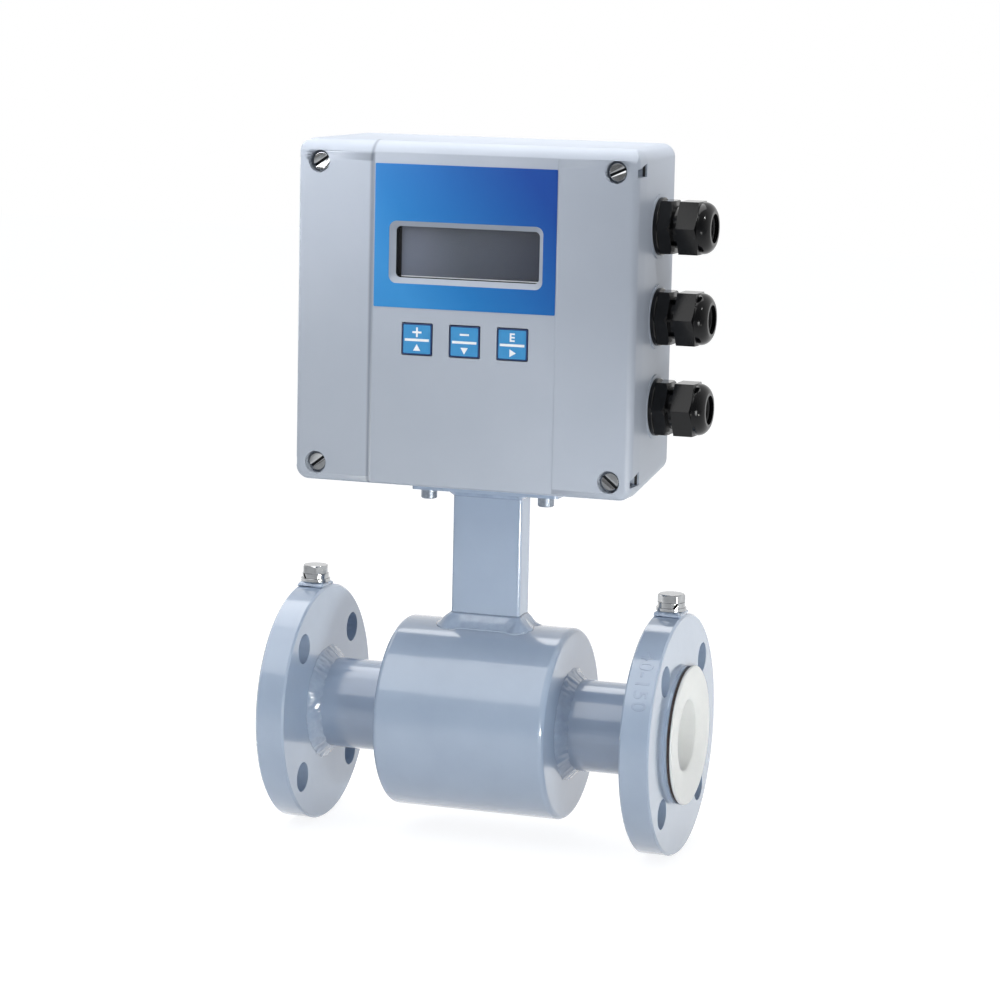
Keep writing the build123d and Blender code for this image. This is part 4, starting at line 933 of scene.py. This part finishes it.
def painted_lump(node, name, voxel, push, spread_x, spread_y):
    """voxel is the size of the faces and push the height of the lumps, both in mm."""
    piece = piece_from(merged_copy(node, flatten=False), name, node, weld_gloss)
    bm = evenly_meshed(piece, voxel)
    for _ in range(3):
        bmesh.ops.smooth_vert(bm, verts=bm.verts, factor=0.5, use_axis_x=True, use_axis_y=True,
                              use_axis_z=True)
    bm.normal_update()
    low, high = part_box(node)
    for vert in bm.verts:
        down = (high.z - vert.co.z) / (high.z - low.z)
        middle_x = math.copysign(PAD_X * MM, vert.co.x)
        vert.co.x = middle_x + (vert.co.x - middle_x) * (1 + spread_x * down)
        vert.co.y *= 1 + spread_y * down
        vert.co += vert.normal * noise.noise(vert.co / MM * NOISE_PACE) * push * MM
    bm.to_mesh(piece.data)
    bm.free()
    smooth_all(piece)


painted_lump("ground_pads", "ground_pad_lumps", voxel=0.6, push=0.5, spread_x=0.06, spread_y=0.2)
print("pads made at", round(PAD_X, 2))

# %% [markdown]
# ## The keys
#
# Each key is a light blue square with a white sign: a plus over an upward arrow, a minus over a
# downward arrow, and an E over an arrow to the right. Its dark edge is painted shade, for the gap
# round the key. The signs are printed, so they are thin sheets a few hundredths of a millimetre
# above the face and ride with their key.

# %% Define flat shapes that stand upright
FILM, ARROW_R = 0.02, 2.3


def upright(x, z, y):
    """Stands a flat shape up in the front plane, with its middle at this place in mm."""
    return Matrix.Translation(Vector((x, y, z)) * MM) @ Matrix.Rotation(math.radians(90), 4, "X")


def sheet(bm, width, height, x, z, y):
    made = bmesh.ops.create_grid(bm, x_segments=1, y_segments=1, size=0.5)["verts"]
    bmesh.ops.transform(bm, verts=made, matrix=upright(x, z, y)
                        @ Matrix.Diagonal((width * MM, height * MM, 1, 1)))


def arrow(bm, x, z, y, turn):
    made = bmesh.ops.create_circle(bm, cap_ends=True, segments=3, radius=ARROW_R * MM)["verts"]
    bmesh.ops.transform(bm, verts=made, matrix=upright(x, z, y)
                        @ Matrix.Rotation(math.radians(turn), 4, "Z"))


# %% Define the printed signs
SIGN_LIFT, STROKE = 0.03, 1.0
BAR_WIDTH, BAR_HEIGHT, BAR_DROP = 13.2, 1.3, 0.4
SIGN_RISE, ARROW_DROP = 3.6, 4.4


def key_sign(node, kind):
    """A bar across the key, the sign of its kind above it and an arrow below."""
    low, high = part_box(node)
    x, z = (low.x + high.x) / 2 / MM, (low.z + high.z) / 2 / MM
    y = low.y / MM - SIGN_LIFT
    bm = bmesh.new()
    sheet(bm, BAR_WIDTH, BAR_HEIGHT, x, z - BAR_DROP, y)
    top, low_z = z + SIGN_RISE, z - ARROW_DROP
    if kind == "plus":
        sheet(bm, 5.0, STROKE, x, top, y)
        sheet(bm, STROKE, 2.0, x, top + 1.5, y)
        sheet(bm, STROKE, 2.0, x, top - 1.5, y)
        arrow(bm, x, low_z - 0.4, y, 0)
    elif kind == "minus":
        sheet(bm, 5.0, STROKE, x, top, y)
        arrow(bm, x, low_z + 0.2, y, 180)
    else:
        sheet(bm, 0.9, 4.4, x - 0.9, top, y)
        for level_z in (top + 1.75, top, top - 1.75):
            sheet(bm, 1.8, 0.8, x + 0.45, level_z, y)
        arrow(bm, x - 0.2, low_z, y, -90)
    bmesh.ops.solidify(bm, geom=list(bm.faces), thickness=FILM * MM)
    piece_from(bm, node + "_sign", node, sign_white, replaces=False)


# %% Dress the keys
FACE_SIZE, FACE_CORNER = 14.6, 0.5
FACE_LIFT, FACE_THICK = 0.012, 0.01

for name in ("key_plus", "key_minus", "key_enter"):
    # The key's navy is painted shade; the blue face sheet leaves only its edge showing.
    dressed(name, key_edge_shade)
    low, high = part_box(name)
    bm = bmesh.new()
    mid = (low + high) / 2 / MM
    sheet(bm, FACE_SIZE, FACE_SIZE, mid.x, mid.z, low.y / MM - FACE_LIFT)
    bmesh.ops.bevel(bm, geom=list(bm.verts), offset=FACE_CORNER * MM, offset_type="OFFSET",
                    segments=4, profile=0.5, affect="VERTICES", clamp_overlap=True, material=-1)
    bmesh.ops.solidify(bm, geom=list(bm.faces), thickness=FACE_THICK * MM)
    piece_from(bm, name + "_face", name, key_blue, replaces=False)
    key_sign(name, name.split("_")[1])
print("keys dressed")

# %% [markdown]
# ## The display's frame lines
#
# Behind the pane the glass is set in a black foam frame. Thin black strips lie a little further over
# the glass on its left and lower side, and a thin pale line along the glass's lower edge is a painted
# highlight of the pane's edge. They are thin sheets just in front of the glass, under the pane.

# %% Lay the frame lines
GLASS_LOW, GLASS_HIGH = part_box("lcd_module")
FOAM_RIM, DARK_OVER_LEFT, DARK_OVER_LOWER = 4.45, 2.0, 0.8
STRIP_LIFT, HIGHLIGHT_LIFT, HIGHLIGHT_HEIGHT = 0.06, 0.09, 0.5


def frame_line(name, left, right, bottom, top, material, lift):
    """A thin sheet between these edges, in mm, that stands lift in front of the glass."""
    bm = bmesh.new()
    sheet(bm, right - left, top - bottom, (left + right) / 2, (bottom + top) / 2,
          GLASS_LOW.y / MM - lift)
    bmesh.ops.solidify(bm, geom=list(bm.faces), thickness=FILM * MM)
    piece_from(bm, name, "lcd_module", material, replaces=False)


left, right = GLASS_LOW.x / MM, GLASS_HIGH.x / MM
bottom, top = GLASS_LOW.z / MM, GLASS_HIGH.z / MM
left_edge = left + FOAM_RIM + DARK_OVER_LEFT
lower_edge = bottom + FOAM_RIM + DARK_OVER_LOWER
frame_line("dark_strip_left", left, left_edge, bottom, top, foam_black, STRIP_LIFT)
frame_line("dark_strip_lower", left, right, bottom, lower_edge, foam_black, STRIP_LIFT)
# The pale line is a painted highlight on the pane's lower edge.
frame_line("edge_highlight_lower", left_edge, right, lower_edge, lower_edge + HIGHLIGHT_HEIGHT, sign_white, HIGHLIGHT_LIFT)
print("frame lines laid")

# %% [markdown]
# ## The floor
#
# The meter stands on a white sheet. For the camera and for shiny surfaces most of the sheet's
# brightness is a glow, so it meets the white background without a line, and the rest is ordinary
# paper, which keeps the soft shadow close round the meter's feet. Shiny surfaces see less of the
# glow on the sheet's near side, as in a studio, where the light stands behind and above.

# %% Mix the paper
PAPER_COLOUR, PAPER_ROUGHNESS = (0.86, 0.87, 0.88, 1.0), 0.9
GLOW_STRENGTH, GLOW_SHARE = 1.44, 0.6
NEAR_Y, FAR_Y, NEAR_GLOW = -0.6, 0.0, 0.12


def glowing_paper():
    paper = bpy.data.materials.new("paper")
    paper.use_nodes = True
    tree = paper.node_tree
    shader = tree.nodes["Principled BSDF"]
    shader.inputs["Base Color"].default_value = PAPER_COLOUR
    shader.inputs["Roughness"].default_value = PAPER_ROUGHNESS
    glow = tree.nodes.new("ShaderNodeEmission")
    glow.inputs["Color"].default_value = WHITE
    glow.inputs["Strength"].default_value = GLOW_STRENGTH
    place = tree.nodes.new("ShaderNodeTexCoord")
    parts = tree.nodes.new("ShaderNodeSeparateXYZ")
    behind = tree.nodes.new("ShaderNodeMapRange")
    behind.interpolation_type = "SMOOTHSTEP"
    behind.inputs["From Min"].default_value = NEAR_Y
    behind.inputs["From Max"].default_value = FAR_Y
    behind.inputs["To Min"].default_value = NEAR_GLOW
    shiny = tree.nodes.new("ShaderNodeMath")
    shiny.operation = "MULTIPLY"
    ray = tree.nodes.new("ShaderNodeLightPath")
    seen = tree.nodes.new("ShaderNodeMath")
    seen.operation = "MAXIMUM"
    share = tree.nodes.new("ShaderNodeMath")
    share.operation = "MULTIPLY"
    share.inputs[1].default_value = GLOW_SHARE
    mix = tree.nodes.new("ShaderNodeMixShader")
    link = tree.links.new
    link(ray.outputs["Is Camera Ray"], seen.inputs[0])
    link(place.outputs["Object"], parts.inputs["Vector"])
    link(parts.outputs["Y"], behind.inputs["Value"])
    link(ray.outputs["Is Glossy Ray"], shiny.inputs[0])
    link(behind.outputs["Result"], shiny.inputs[1])
    link(shiny.outputs[0], seen.inputs[1])
    link(seen.outputs[0], share.inputs[0])
    link(share.outputs[0], mix.inputs["Fac"])
    link(shader.outputs[0], mix.inputs[1])
    link(glow.outputs[0], mix.inputs[2])
    link(mix.outputs[0], tree.nodes["Material Output"].inputs["Surface"])
    return paper


# %% Lay the floor
FLOOR_HALF, FLOOR_DROP = 4.0, 0.0005

bm = bmesh.new()
made = bmesh.ops.create_grid(bm, x_segments=1, y_segments=1, size=FLOOR_HALF)["verts"]
bmesh.ops.translate(bm, verts=made, vec=(0, 0, cad_low.z - FLOOR_DROP))
mesh = bpy.data.meshes.new("floor")
bm.to_mesh(mesh)
bm.free()
mesh.materials.append(glowing_paper())
floor = bpy.data.objects.new("floor", mesh)
bpy.context.scene.collection.objects.link(floor)
print("floor at", round(cad_low.z / MM, 2))

# %% [markdown]
# ## Measure and finish
#
# The imported model's box, in mm, is printed at the end.

# %% Print the imported box
print("cad box", [round(v / MM, 2) for v in cad_high - cad_low])
